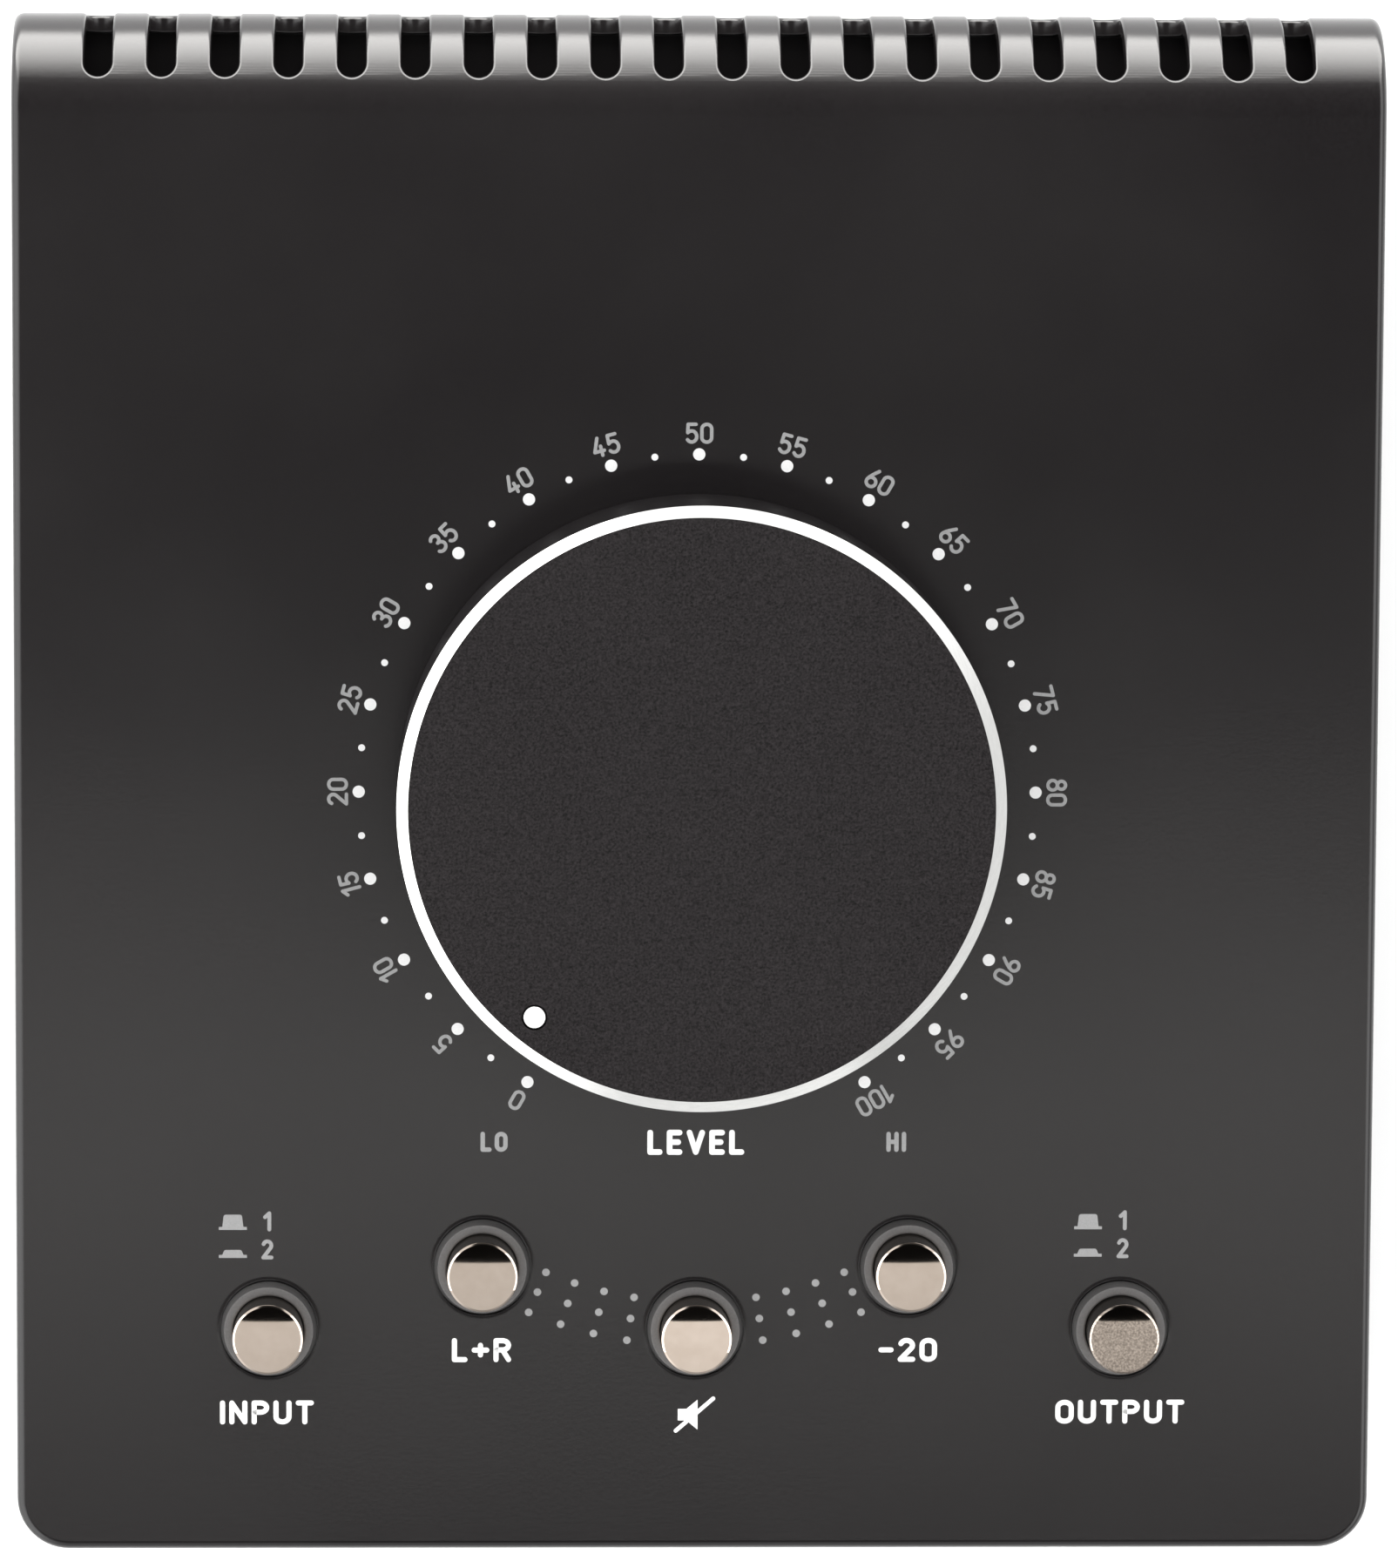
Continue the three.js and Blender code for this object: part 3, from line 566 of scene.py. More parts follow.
# One vent as a solid: a long round-ended slot over the curve, flared at the rim
def ventCutter():
    radius, centreY = rearCurve(0)[:2]
    half, rim, tilt = shell["ventHalf"], shell["ventRound"], case["tilt"]
    flare, over = shell["ventFlare"], shell["ventOver"]
    endSteps, sideSteps = shell["ventEndSteps"], shell["ventSideSteps"]
    nearAngle = math.asin((shell["ventNear"] + half - centreY) / radius)
    nearCentre = (nearAngle + tilt) * radius
    nearStretch = 1 / math.cos(nearAngle)
    farCentre = (math.pi / 2 + tilt) * radius + shell["ventDrop"] - half
    levels = [(0.0, case["wall"] * 1.5)]
    for angle in (flare * i / 5 for i in range(6)):
        levels.append((rim * (1 - math.cos(angle)), rim * (1 - math.sin(angle))))
    wide, deep = levels[-1]
    levels.append((wide + (deep + over) * math.tan(flare), -over))
    turns = [math.pi * i / endSteps for i in range(endSteps + 1)]
    ways = [(farCentre - nearCentre) * i / sideSteps for i in range(1, sideSteps)]
    rings, points = [], []
    for wide, deep in levels:
        w = half + wide
        loop = [(w * math.cos(a), farCentre + w * math.sin(a)) for a in turns]
        loop += [(-w, farCentre - way) for way in ways]
        loop += [(w * math.cos(math.pi + a), nearCentre + w * nearStretch * math.sin(math.pi + a))
                 for a in turns]
        loop += [(w, nearCentre + way) for way in ways]
        rings.append([len(points) + i for i in range(len(loop))])
        points += [onRearCurve(x, along, deep) for x, along in loop]
    faces = []
    count = len(rings[0])
    for low, high in zip(rings, rings[1:]):
        faces += [[low[i], low[(i + 1) % count], high[(i + 1) % count], high[i]] for i in range(count)]
    for ring in (rings[0], rings[-1]):  # the two ends are closed by rungs across the slot
        nearStart = endSteps + sideSteps
        left = ring[endSteps:nearStart + 1]
        right = [ring[0]] + ring[::-1][:sideSteps]
        faces += [ring[:endSteps + 1], ring[nearStart:nearStart + endSteps + 1]]
        faces += [[right[i], left[i], left[i + 1], right[i + 1]] for i in range(sideSteps)]
    return makePiece("vent_cutter", points, faces)


# The seat of a ring, with a shallow dish round it that meets the panel evenly
def seatProfile():
    seat, dish, deep, steps = (shell[key] for key in ("ringSeat", "dishRadius", "dishDepth", "dishSteps"))
    profile = [(0, -shell["ringSeatDepth"]), (seat, -shell["ringSeatDepth"])]
    for t in (i / steps for i in range(steps)):
        profile.append((seat + (dish - seat) * t, -deep * (1 - t) ** 2))
    return profile + [(dish, shell["dishLip"]), (dish, past), (0, past)]


def fromNearestButton(spot):
    return min(math.hypot(spot.x - x, spot.y - y) for x, y in buttons["places"])


# The flat panel keeps its own normals where the dishes begin
def keepFlat(piece):
    toPanel = panelPlace.inverted()
    nearHeight, nearReach = 0.002, 0.03
    onRim = []
    for vertex in piece.data.vertices:
        spot = toPanel @ (vertex.co / toMetres)
        onRim.append(abs(spot.z) < nearHeight
                     and abs(fromNearestButton(spot) - shell["dishRadius"]) < nearReach)
    for edge in piece.data.edges:
        if onRim[edge.vertices[0]] and onRim[edge.vertices[1]]:
            edge.use_edge_sharp = True


def makeHousing():
    wall, rim, gap, rear = case["wall"], case["rim"], case["seatGap"], case["rear"]
    inner, buried = case["halfWidth"] - wall, case["halfWidth"] - wall / 2
    floor, thick = case["plateTop"] + gap, shell["ribThick"]
    piece = housingForm("housing_shell", 0.0, case["edge"], rim)
    carve(piece, housingForm("inside", wall, case["insideEdge"], rim - past))
    print("housing form", len(piece.data.vertices), "vertices")
    carve(piece, block("brow", -buried, buried, case["panelBack"] - gap, rear - wall / 2, browBottom,
                       browBottom + wall), "UNION")
    for side in (-1, 1):
        for low in (case["panelBack"] - gap - thick, case["panelFace"] + gap):
            x0, x1 = sorted((side * (inner - shell["ribReach"]), side * buried))
            carve(piece, block("rib", x0, x1, low, low + thick, floor, browBottom + wall / 2), "UNION")
    for x, y in shell["bosses"]:
        carve(piece, rod("boss", x, y, shell["bossRadius"], floor, panelZ(y, wall / 2), 32), "UNION")
    for x, y in shell["standoffs"]:
        carve(piece, rod("standoff", x, y, shell["standoffRadius"], shell["standoffLow"], -wall / 2, 32,
                         panelPlace), "UNION")
    carve(piece, block("rear_opening", -inner, inner, rear - wall - past, rear + past, rim - past,
                       browBottom))
    carve(piece, rod("bushing_hole", 0, 0, shell["bushingHole"], -wall - past, past, 48, panelPlace))
    for x, y in shell["bosses"]:
        carve(piece, rod("boss_bore", x, y, shell["bossBore"], rim - past, shell["bossBoreTop"], 24))
    bore = shell["standoffBore"]
    for x, y in shell["standoffs"]:
        carve(piece, rod("standoff_bore", x, y, bore["radius"], bore["low"], bore["high"], 24, panelPlace))
    for x, y in buttons["places"]:
        carve(piece, rod("ring_hole", x, y, shell["ringHole"], -wall - past, past, 48, panelPlace))
        carve(piece, turned("ring_seat", seatProfile(), 64, panelPlace @ Matrix.Translation((x, y, 0))))
    count, first = shell["ventCount"], shell["ventFirst"]
    vents = repeatInRows(ventCutter(), count, count, (first, 0, 0), (-2 * first / (count - 1), 0, 0))
    carve(piece, vents)
    print("housing cut", len(piece.data.vertices), "vertices")
    dress(piece, 31.0, finishes["paint"])
    keepFlat(piece)
    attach(piece, "housing")
    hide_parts("top_shell")


buttons = {
    "names": ["source", "mono", "mute", "dim", "monitor"],
    "places": [(-42.1, -53.46), (-21.05, -47.26), (0.0, -53.46), (21.05, -47.26), (42.1, -53.46)],
    "chrome": (0.256, 0.218, 0.187),
    "otherChrome": (0.277, 0.239, 0.208),
    "chromeRoughness": 0.035,
    "chromeScale": 500.0,
    "speckleScale": 5000.0,
    # each cap's chrome: a share of its brightness, lighter or darker than the rest, and a speckle
    "capBrightness": {"source": (0.98, 0.0), "mono": (0.93, 0.0), "mute": (1.25, 0.0), "dim": (1.0, 0.0),
                "monitor": (0.66, 0.3)},
    "capRadius": 3.46,
    "capTop": 6.2,
    "capEdge": 0.21,
    "capEdgeSlope": 28.0,
    "capEdgeRound": 0.07,
    "crown": 60.0,
    "capPlay": 0.025,
    "capBottom": -4.2,
    "flangeRadius": 4.0,
    "flange": 0.8,
    "capWall": 0.9,
    "crownThickness": 3.0,
    "ringTop": 1.3,
    "ringRadius": 4.71,
    "ringTaper": 0.33,
    "ringBore": 3.53,
    "ringMouth": 0.16,
    "ringFlange": -0.55,
    "ringRound": (0.05, 0.04),
    "stemRadius": 4.1,
    "stemBottom": -3.2,
}

makeHousing()
print("housing ready")


knob = {
    "radius": 29.48,
    "top": 15.31,
    "lift": 1.2,
    "skin": 2.2,
    "face": 2.4,
    "edgeIn": 1.1,
    "edgeDown": 0.82,
    "cutDepth": 0.25,
    "cutGap": 0.01,
    "cutLap": 0.02,
    "footRound": 0.3,
    "pointerRadius": 1.05,
    "pointerReach": 25.78,
    "pointerAngle": math.radians(-141.3),
    "pointerDepth": 0.6,
    "pointerGap": 0.2,
    "pointerFloor": 0.3,
    "pointerRound": 0.12,
}


def makeKnob():
    radius, top, lift, lap, gap = (knob[key] for key in ("radius", "top", "lift", "cutLap", "cutGap"))
    inside, under = radius - knob["skin"], top - knob["face"]
    faceEdge, sideTop = (radius - knob["edgeIn"], top), (radius, top - knob["edgeDown"])
    inward = Vector((-knob["edgeDown"], -knob["edgeIn"])).normalized() * knob["cutDepth"]
    footEdge = roundedCorner((radius, lift + 2), (radius, lift), (radius - 2, lift), knob["footRound"])
    seat = [(sideTop[0], sideTop[1] - lap), (sideTop[0] + inward.x, sideTop[1] + inward.y),
            (faceEdge[0] + inward.x, faceEdge[1] + inward.y), (faceEdge[0] - lap, top)]
    profile = [(0, under), (inside, under), (inside, lift), *footEdge[::-1], *seat,
               (radius * 0.6, top), (radius * 0.2, top), (0, top)]
    body = turned("knob_body", profile, 192, panelPlace)
    x = knob["pointerReach"] * math.sin(knob["pointerAngle"])
    y = knob["pointerReach"] * math.cos(knob["pointerAngle"])
    dotRadius, low = knob["pointerRadius"], top - knob["pointerDepth"]
    carve(body, rod("dimple", x, y, dotRadius + knob["pointerGap"], low - knob["pointerFloor"], top + past,
                    64, panelPlace))
    dress(body, 25.0, finishes["blasted"])
    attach(body, "knob")
    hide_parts("knob_cap")
    cut = turned("knob_cut_edge", [
        (sideTop[0] + inward.x + gap, sideTop[1] + inward.y + gap), sideTop, faceEdge,
        (faceEdge[0] + inward.x + gap, faceEdge[1] + inward.y + gap)], 256, panelPlace)
    dress(cut, 25.0, finishes["brightCut"])
    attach(cut, "knob")
    dotEdge = roundedCorner((dotRadius, low), (dotRadius, top), (0, top), knob["pointerRound"])
    dot = turned("knob_dot", [(0, low), (dotRadius, low), *dotEdge, (0, top)], 64,
                 panelPlace @ Matrix.Translation((x, y, 0)))
    dress(dot, 25.0, finishes["inkWhite"])
    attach(dot, "knob")
    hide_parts("knob_pointer")


makeKnob()
print("knob ready")


def capProfile():
    radius, top, edge, crown = (buttons[key] for key in ("capRadius", "capTop", "capEdge", "crown"))
    low, flange, flangeRadius = (buttons[key] for key in ("capBottom", "flange", "flangeRadius"))
    bore, boreEnd = radius - buttons["capWall"], top - buttons["crownThickness"]
    face = radius - edge

    def crowned(reach):
        return reach, top - (crown - math.sqrt(crown * crown - reach * reach))

    rim = crowned(face)
    corner = (radius, rim[1] - edge * math.tan(math.radians(buttons["capEdgeSlope"])))
    return [(0, boreEnd), (bore, boreEnd), (bore, low), (flangeRadius, low),
            (flangeRadius, low + flange), (radius, low + flange),
            *roundedCorner((radius, low + flange), corner, rim, buttons["capEdgeRound"], 5), rim,
            *[crowned(face * (1 - i / 12)) for i in range(1, 13)]]


# Chrome made lighter or darker on each cap by its own share, with a fine speckle on one cap
def chromeOf(name, share, speckle):
    shade = tuple(share * (1 - speckle) * c for c in buttons["chrome"])
    otherShade = tuple(share * (1 + speckle) * c for c in buttons["otherChrome"])
    grainScale = buttons["speckleScale"] if speckle else buttons["chromeScale"]
    return newFinish(f"{name}_chrome", shade, otherShade, buttons["chromeRoughness"], metallic=1.0,
                     grainScale=grainScale, glossPatch=0.008, patchScale=200.0, grazing=0.45)


def makeButtons():
    for name, (x, y) in zip(buttons["names"], buttons["places"]):
        spot = panelPlace @ Matrix.Translation((x, y + buttons["capPlay"], 0))
        cap = turned(f"{name}_chrome_cap", capProfile(), 96, spot)
        dress(cap, 18.0, chromeOf(name, *buttons["capBrightness"][name]))
        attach(cap, f"{name}_button")
        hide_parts(f"{name}_button_cap")
    top, outer, bore = buttons["ringTop"], buttons["ringRadius"], buttons["ringBore"]
    stem, low, flange = buttons["stemRadius"], buttons["stemBottom"], buttons["ringFlange"]
    inner, mouth = outer - buttons["ringTaper"], bore + buttons["ringMouth"]
    mouthLow = (bore, top - buttons["ringMouth"])
    outerRound, mouthRound = buttons["ringRound"]
    ring = turned("button_rings", [
        (bore, low), (stem, low), (stem, flange), (outer, flange), (outer, 0),
        *roundedCorner((outer, 0), (inner, top), (bore, top), outerRound, 3),
        *roundedCorner((inner, top), (mouth, top), mouthLow, mouthRound, 3), mouthLow], 96)
    moved(ring, panelPlace)
    across, along = (panelPlace.to_3x3() @ Vector(way) for way in ((1, 0, 0), (0, 1, 0)))
    (x0, y0), (x1, y1) = buttons["places"][:2]
    repeatInRows(ring, 5, 5, across * x0 + along * y0, across * (x1 - x0), oddStep=along * (y1 - y0))
    dress(ring, 30.0, finishes["ring"])
    # faces out beyond the top's edge, the outer wall and step, take the darker copy: painted shade on the
    # ring's wall
    ring.data.materials.append(finishes["ringWallShade"])
    toPanel = panelPlace.inverted()
    for face in ring.data.polygons:
        face.material_index = int(fromNearestButton(toPanel @ (face.center / toMetres)) > inner)
    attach(ring, "housing")
    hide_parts(*[f"{name}_button_collar" for name in buttons["names"]])


makeButtons()
print("buttons ready")


dial = {
    "radius": 33.246,
    "firstAngle": -150.0,
    "lastAngle": 150.0,
    "longStep": 15.0,
    "longDot": 0.60,
    "shortDot": 0.34,
    "arcCentre": -13.0,
    "arcRadii": [37.8, 39.95, 42.15],
    "arcFirst": 9.18,
    "arcStep": 4.594,
    "arcDot": 0.38,
    "inkLow": -0.04,
    "inkHigh": 0.02,
}


def dotsRound(name, radius, count, reach, first, step, centreY):
    dot = rod(name, 0, 0, radius, dial["inkLow"], dial["inkHigh"], 24,
              Matrix.Rotation(case["tilt"], 4, "X"))
    centre = panelPlace @ Vector((0, centreY, 0))
    turn = panelPlace.to_3x3()
    return repeat(dot, roundDial, {
        "Count": count, "Radius": reach * toMetres, "First Angle": math.radians(first),
        "Angle Step": math.radians(step), "Centre": metres(*centre),
        "Right": tuple(turn @ Vector((1, 0, 0))), "Far": tuple(turn @ Vector((0, 1, 0)))})


def makeDots():
    step, reach, first = dial["longStep"], dial["radius"], dial["firstAngle"]
    count = round((dial["lastAngle"] - first) / step) + 1
    white = [dotsRound("long", dial["longDot"], count, reach, first, step, 0),
             dotsRound("short", dial["shortDot"], count - 1, reach, first + step / 2, step, 0)]
    grey = [dotsRound("arc", dial["arcDot"], 4, reach, 180 + side * dial["arcFirst"],
                      side * dial["arcStep"], dial["arcCentre"])
            for reach in dial["arcRadii"] for side in (-1, 1)]
    for pieces, name, ink in ((white, "dial_dots", "inkDot"), (grey, "level_dots", "inkGrey")):
        piece = merge(pieces, name)
        dress(piece, 20.0, finishes[ink])
        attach(piece, "housing")


makeDots()
print("dots ready")

# Plain line letters: each is its width, then strokes; a stroke is open, or closed when "loop"
arc = arcPoints
oval = arc(.25, .75, .25, .25, 0, 180, 10) + arc(.25, .25, .25, .25, 180, 360, 10)
six = [("line", [(.36, 1), (.17, .70), (.06, .48), (.0, .30)]),
       ("loop", arc(.25, .26, .25, .26, 0, 348, 18))]
bowl = [(0, 0), (0, 1), (.26, 1)] + arc(.26, .755, .24, .245, 75, -90, 9) + [(.02, .51)]
letters = {
    "0": (.5, [("loop", oval)]),
    "1": (.28, [("line", [(0, .76), (.26, 1), (.26, 0)])]),
    "2": (.5, [("line", arc(.25, .74, .24, .26, 160, -38, 11) + [(0, 0), (.5, 0)])]),
    "3": (.5, [("line", arc(.24, .765, .22, .235, 150, -90, 11)),
               ("line", arc(.24, .265, .26, .265, 90, -150, 13))]),
    "4": (.5, [("line", [(.28, 1), (0, .25), (.5, .25)]), ("line", [(.36, .52), (.36, 0)])]),
    "5": (.5, [("line", [(.46, 1), (.06, 1), (.04, .55)]),
               ("line", [(.04, .53)] + arc(.24, .315, .26, .315, 120, -145, 13))]),
    "6": (.5, six),
    "7": (.5, [("line", [(0, 1), (.5, 1), (.17, 0)])]),
    "8": (.5, [("loop", arc(.25, .77, .21, .23, 0, 340, 17)),
               ("loop", arc(.25, .27, .25, .27, 0, 342, 18))]),
    "9": (.5, [(kind, [(.5 - x, 1 - y) for x, y in line]) for kind, line in six]),
    "L": (.42, [("line", [(0, 1), (0, 0), (.42, 0)])]),
    "E": (.44, [("line", [(.44, 1), (0, 1), (0, 0), (.44, 0)]), ("line", [(0, .51), (.38, .51)])]),
    "V": (.56, [("line", [(0, 1), (.28, 0), (.56, 1)])]),
    "O": (.54, [("loop", arc(.27, .73, .27, .27, 0, 180, 10) + arc(.27, .27, .27, .27, 180, 360, 10))]),
    "H": (.5, [("line", [(0, 0), (0, 1)]), ("line", [(.5, 0), (.5, 1)]),
               ("line", [(0, .5), (.5, .5)])]),
    "I": (0, [("line", [(0, 0), (0, 1)])]),
    "N": (.52, [("line", [(0, 0), (0, 1), (.52, 0), (.52, 1)])]),
    "P": (.5, [("line", bowl)]),
    "U": (.52, [("line", [(0, 1)] + arc(.26, .27, .26, .27, 180, 360, 10) + [(.52, 1)])]),
    "T": (.52, [("line", [(0, 1), (.52, 1)]), ("line", [(.26, 1), (.26, 0)])]),
    "R": (.5, [("line", bowl), ("line", [(.26, .51), (.5, 0)])]),
    "+": (.5, [("line", [(0, .5), (.5, .5)]), ("line", [(.25, .25), (.25, .75)])]),
    "-": (.4, [("line", [(0, .5), (.4, .5)])]),
}


def arcSpots(spot, start, turn, steps, half):
    angles = [start - turn * k / steps for k in range(steps + 1)]
    return [spot + Vector((math.cos(a), math.sin(a))) * half for a in angles]


def leftSide(line, half):
    edge = []
    for i, spot in enumerate(line):
        before = (spot - line[i - 1]).normalized() if i else None
        after = (line[i + 1] - spot).normalized() if i + 1 < len(line) else None
        if before is None or after is None:
            way = after if before is None else before
            edge.append(spot + Vector((-way.y, way.x)) * half)
            continue
        a, b = Vector((-before.y, before.x)), Vector((-after.y, after.x))
        turn = before.x * after.y - before.y * after.x
        if turn < 0 and a.dot(b) < 0.9:  # round the outside of a corner
            edge += arcSpots(spot, math.atan2(a.y, a.x), a.angle(b), 5, half)
        else:
            edge.append(spot + (a + b) * half / (1 + a.dot(b)))
    return edge


def roundEnd(spot, way, half):
    return arcSpots(spot, math.atan2(way.x, -way.y), math.pi, 8, half)[1:-1]


# A stroke of ink: an open line with round ends, or a closed loop
def strokePrism(kind, line, half, place):
    line = [Vector(p) for p in line]
    least = half * 0.05
    line = [p for i, p in enumerate(line) if i == 0 or (p - line[i - 1]).length > least]
    low, high = dial["inkLow"], dial["inkHigh"]
    if kind == "line":
        outline = leftSide(line, half) + roundEnd(line[-1], (line[-1] - line[-2]).normalized(), half)
        outline += leftSide(line[::-1], half) + roundEnd(line[0], (line[0] - line[1]).normalized(), half)
        return prism("stroke", [tuple(p) for p in outline], low, high, place)
    if (line[0] - line[-1]).length < least:
        line.pop()
    count = len(line)
    inner, outer = [], []
    for i, spot in enumerate(line):
        way = (line[(i + 1) % count] - line[i - 1]).normalized()
        inner.append(spot + Vector((-way.y, way.x)) * half)
        outer.append(spot - Vector((-way.y, way.x)) * half)
    points = [(*p, z) for z in (low, high) for loop in (inner, outer) for p in loop]
    a, b, c, d = 0, count, 2 * count, 3 * count
    faces = []
    for i in range(count):
        j = (i + 1) % count
        faces += [[b + i, b + j, a + j, a + i], [c + i, c + j, d + j, d + i],
                  [a + i, a + j, c + j, c + i], [b + j, b + i, d + i, d + j]]
    return makePiece("stroke", points, faces, place)


# Strokes that don't touch each other are collected in layers, and the layers are joined as solids
inkLayers = {"inkWhite": [], "inkGrey": []}


def addStroke(ink, layer, kind, line, half, place):
    layers = inkLayers[ink]
    while len(layers) <= layer:
        layers.append([])
    layers[layer].append(strokePrism(kind, line, half, place))


marks = {
    "styles": {
        "number": {"height": 2.08, "stroke": 0.34, "gap": 0.16, "widen": 1.1, "ink": "inkGrey"},
        "heading": {"height": 2.5, "stroke": 0.56, "gap": 0.42, "widen": 1.15, "ink": "inkWhite"},
        "end": {"height": 2.0, "stroke": 0.44, "gap": 0.3, "widen": 1.0, "ink": "inkGrey"},
        "name": {"height": 2.4, "stroke": 0.5, "gap": 0.42, "widen": 1.3, "ink": "inkWhite"},
        "choice": {"height": 2.0, "stroke": 0.38, "gap": 0.3, "widen": 1.0, "ink": "inkGrey"},
    },
    "words": [
        ("LEVEL", "heading", 0.0, -34.8), ("LO", "end", -19.9, -34.75), ("HI", "end", 19.8, -34.75),
        ("INPUT", "name", -42.3, -61.84), ("L+R", "name", -21.1, -55.6), ("-20", "name", 21.1, -55.6),
        ("OUTPUT", "name", 42.2, -61.84), ("1", "choice", -42.24, -42.7), ("2", "choice", -42.24, -45.5),
        ("1", "choice", 42.31, -42.6), ("2", "choice", 42.31, -45.4)],
    "numberStep": 5,
    "numberReach": 35.32,
    "plungers": [(-45.64, -43.55, 1.52), (-45.64, -46.35, 0.8), (38.86, -43.5, 1.52),
                 (38.86, -46.25, 0.8)],
    "plungerBar": (1.38, 0.3),
    "plungerFoot": 1.04,
    "plungerTop": 0.92,
    "plungerRound": 0.24,
    "speakerPlace": (0.0, -62.1),
    "speaker": [(-1.65, -0.58), (-0.8, -0.58), (0.3, -1.5), (0.3, 1.5), (-0.8, 0.58), (-1.65, 0.58)],
    "speakerStroke": [(-1.85, -1.62), (1.85, 1.62)],
    "speakerHalf": 0.2,
}


def write(text, style, x, y, turn=0.0):
    height, stroke, gap, widen, ink = marks["styles"][style].values()
    scale = height - stroke
    width = sum(letters[c][0] * scale * widen + stroke for c in text) + gap * (len(text) - 1)
    place = panelPlace @ Matrix.Translation((x, y, 0)) @ Matrix.Rotation(turn, 4, "Z")
    left = -width / 2 + stroke / 2
    for character in text:
        size, strokes = letters[character]
        for layer, (kind, line) in enumerate(strokes):
            spots = [(left + px * scale * widen, (py - 0.5) * scale) for px, py in line]
            addStroke(ink, layer, kind, spots, stroke / 2, place)
        left += size * scale * widen + stroke + gap


def makeMarks():
    angle, reach = dial["firstAngle"], marks["numberReach"]
    for number in range(0, 101, marks["numberStep"]):
        turn = math.radians(angle)
        write(str(number), "number", reach * math.sin(turn), reach * math.cos(turn), -turn)
        angle += dial["longStep"]
    for word in marks["words"]:
        write(*word)
    low, high = dial["inkLow"], dial["inkHigh"]
    bar, barHigh = marks["plungerBar"]
    foot, corner = marks["plungerFoot"], marks["plungerRound"]
    side = marks["plungerTop"] - corner
    for x, y, rise in marks["plungers"]:  # push-button drawn from the side, out and in
        outline = ([(-bar, 0), (bar, 0), (bar, barHigh), (foot, barHigh)]
                   + arcPoints(side, rise - corner, corner, corner, 10, 90, 5)
                   + arcPoints(-side, rise - corner, corner, corner, 90, 170, 5)
                   + [(-foot, barHigh), (-bar, barHigh)])
        place = panelPlace @ Matrix.Translation((x, y, 0))
        inkLayers["inkGrey"][0].append(prism("plunger_mark", outline, low, high, place))
    place = panelPlace @ Matrix.Translation((*marks["speakerPlace"], 0))  # crossed-out loudspeaker
    inkLayers["inkWhite"][0].append(prism("speaker_mark", marks["speaker"], low, high, place))
    addStroke("inkWhite", 1, "line", marks["speakerStroke"], marks["speakerHalf"], place)
    for ink, name in (("inkWhite", "printed_white"), ("inkGrey", "printed_grey")):
        layers = [merge(strokes, name) for strokes in inkLayers[ink]]
        whole = layers[0]
        for layer in layers[1:]:
            carve(whole, layer, "UNION")
        dress(whole, 20.0, finishes[ink])
        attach(whole, "housing")


makeMarks()
print("lettering ready")

rearParts = {
    "corner": 0.5,
    "side": 65.1,
    "low": 5.0,
    "high": 38.05,
    "middle": 21.5275,
    "rowPitch": 16.2,
    "pitch": 31.0,
    "firstX": -46.5,
    "bushing": 4.7,
    "proud": 3.2,
    "jackLength": 26.0,
    "jackSide": 14.0,
    "chamfer": 1.5,
    "bore": 3.3,
    "boreFloor": 2.0,
    "boreMouth": 0.6,
    "neckRound": 0.5,
    "nutFlats": 13.0,
    "nutThick": 2.48,
    "nutGap": 0.02,
    "nutFaceShare": 0.98,
    "nutLow": 0.35,
    "nutHigh": 0.45,
    "nutMouth": 0.25,
    "threadPitch": 0.55,
    "threadDepth": 0.16,
}


def makeRearPanel():
    p = rearParts
    half, centre = (p["high"] - p["low"]) / 2, (p["high"] + p["low"]) / 2
    back, face = case["panelBack"], case["panelFace"]
    piece = prism("rear_plate", roundedBox(-p["side"], p["side"], -half, half, p["corner"]), back, face,
                  Matrix.Translation((0, 0, centre)) @ alongY)
    hole = rod("jack_hole", 0, 0, p["bushing"] + case["seatGap"], back - past, face + past, 64,
               Matrix.Translation((0, 0, p["middle"])) @ alongY)
    repeatInRows(hole, 8, 4, (p["firstX"], 0, -p["rowPitch"] / 2), (p["pitch"], 0, 0),
                 (0, 0, p["rowPitch"]))
    carve(piece, hole)
    dress(piece, 32.0, finishes["steel"])
    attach(piece, "housing")
    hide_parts("rear_panel")


def hexNut(name, flats, bore, low, thick):
    p = rearParts
    high, mouth = low + thick, p["nutMouth"]
    corner, face = flats / 2 / math.cos(math.pi / 6), flats / 2 * p["nutFaceShare"]
    body = turned(name, [(bore, low), (face, low), (corner, low + p["nutLow"]),
                         (corner, high - p["nutHigh"]), (face, high), (bore + mouth, high),
                         (bore, high - mouth)], 72)
    hexagon = [(corner * math.cos(math.pi / 3 * i), corner * math.sin(math.pi / 3 * i)) for i in range(6)]
    return carve(body, prism("flats", hexagon, low - past, high + past), "INTERSECT")


def threadProfile(radius, low, high, pitch, depth):
    count = max(int((high - low) / pitch), 1)
    step = (high - low) / count
    profile = []
    for i in range(count):
        profile += [(radius - depth, low + i * step), (radius, low + (i + 0.5) * step)]
    return profile + [(radius - depth, high)]


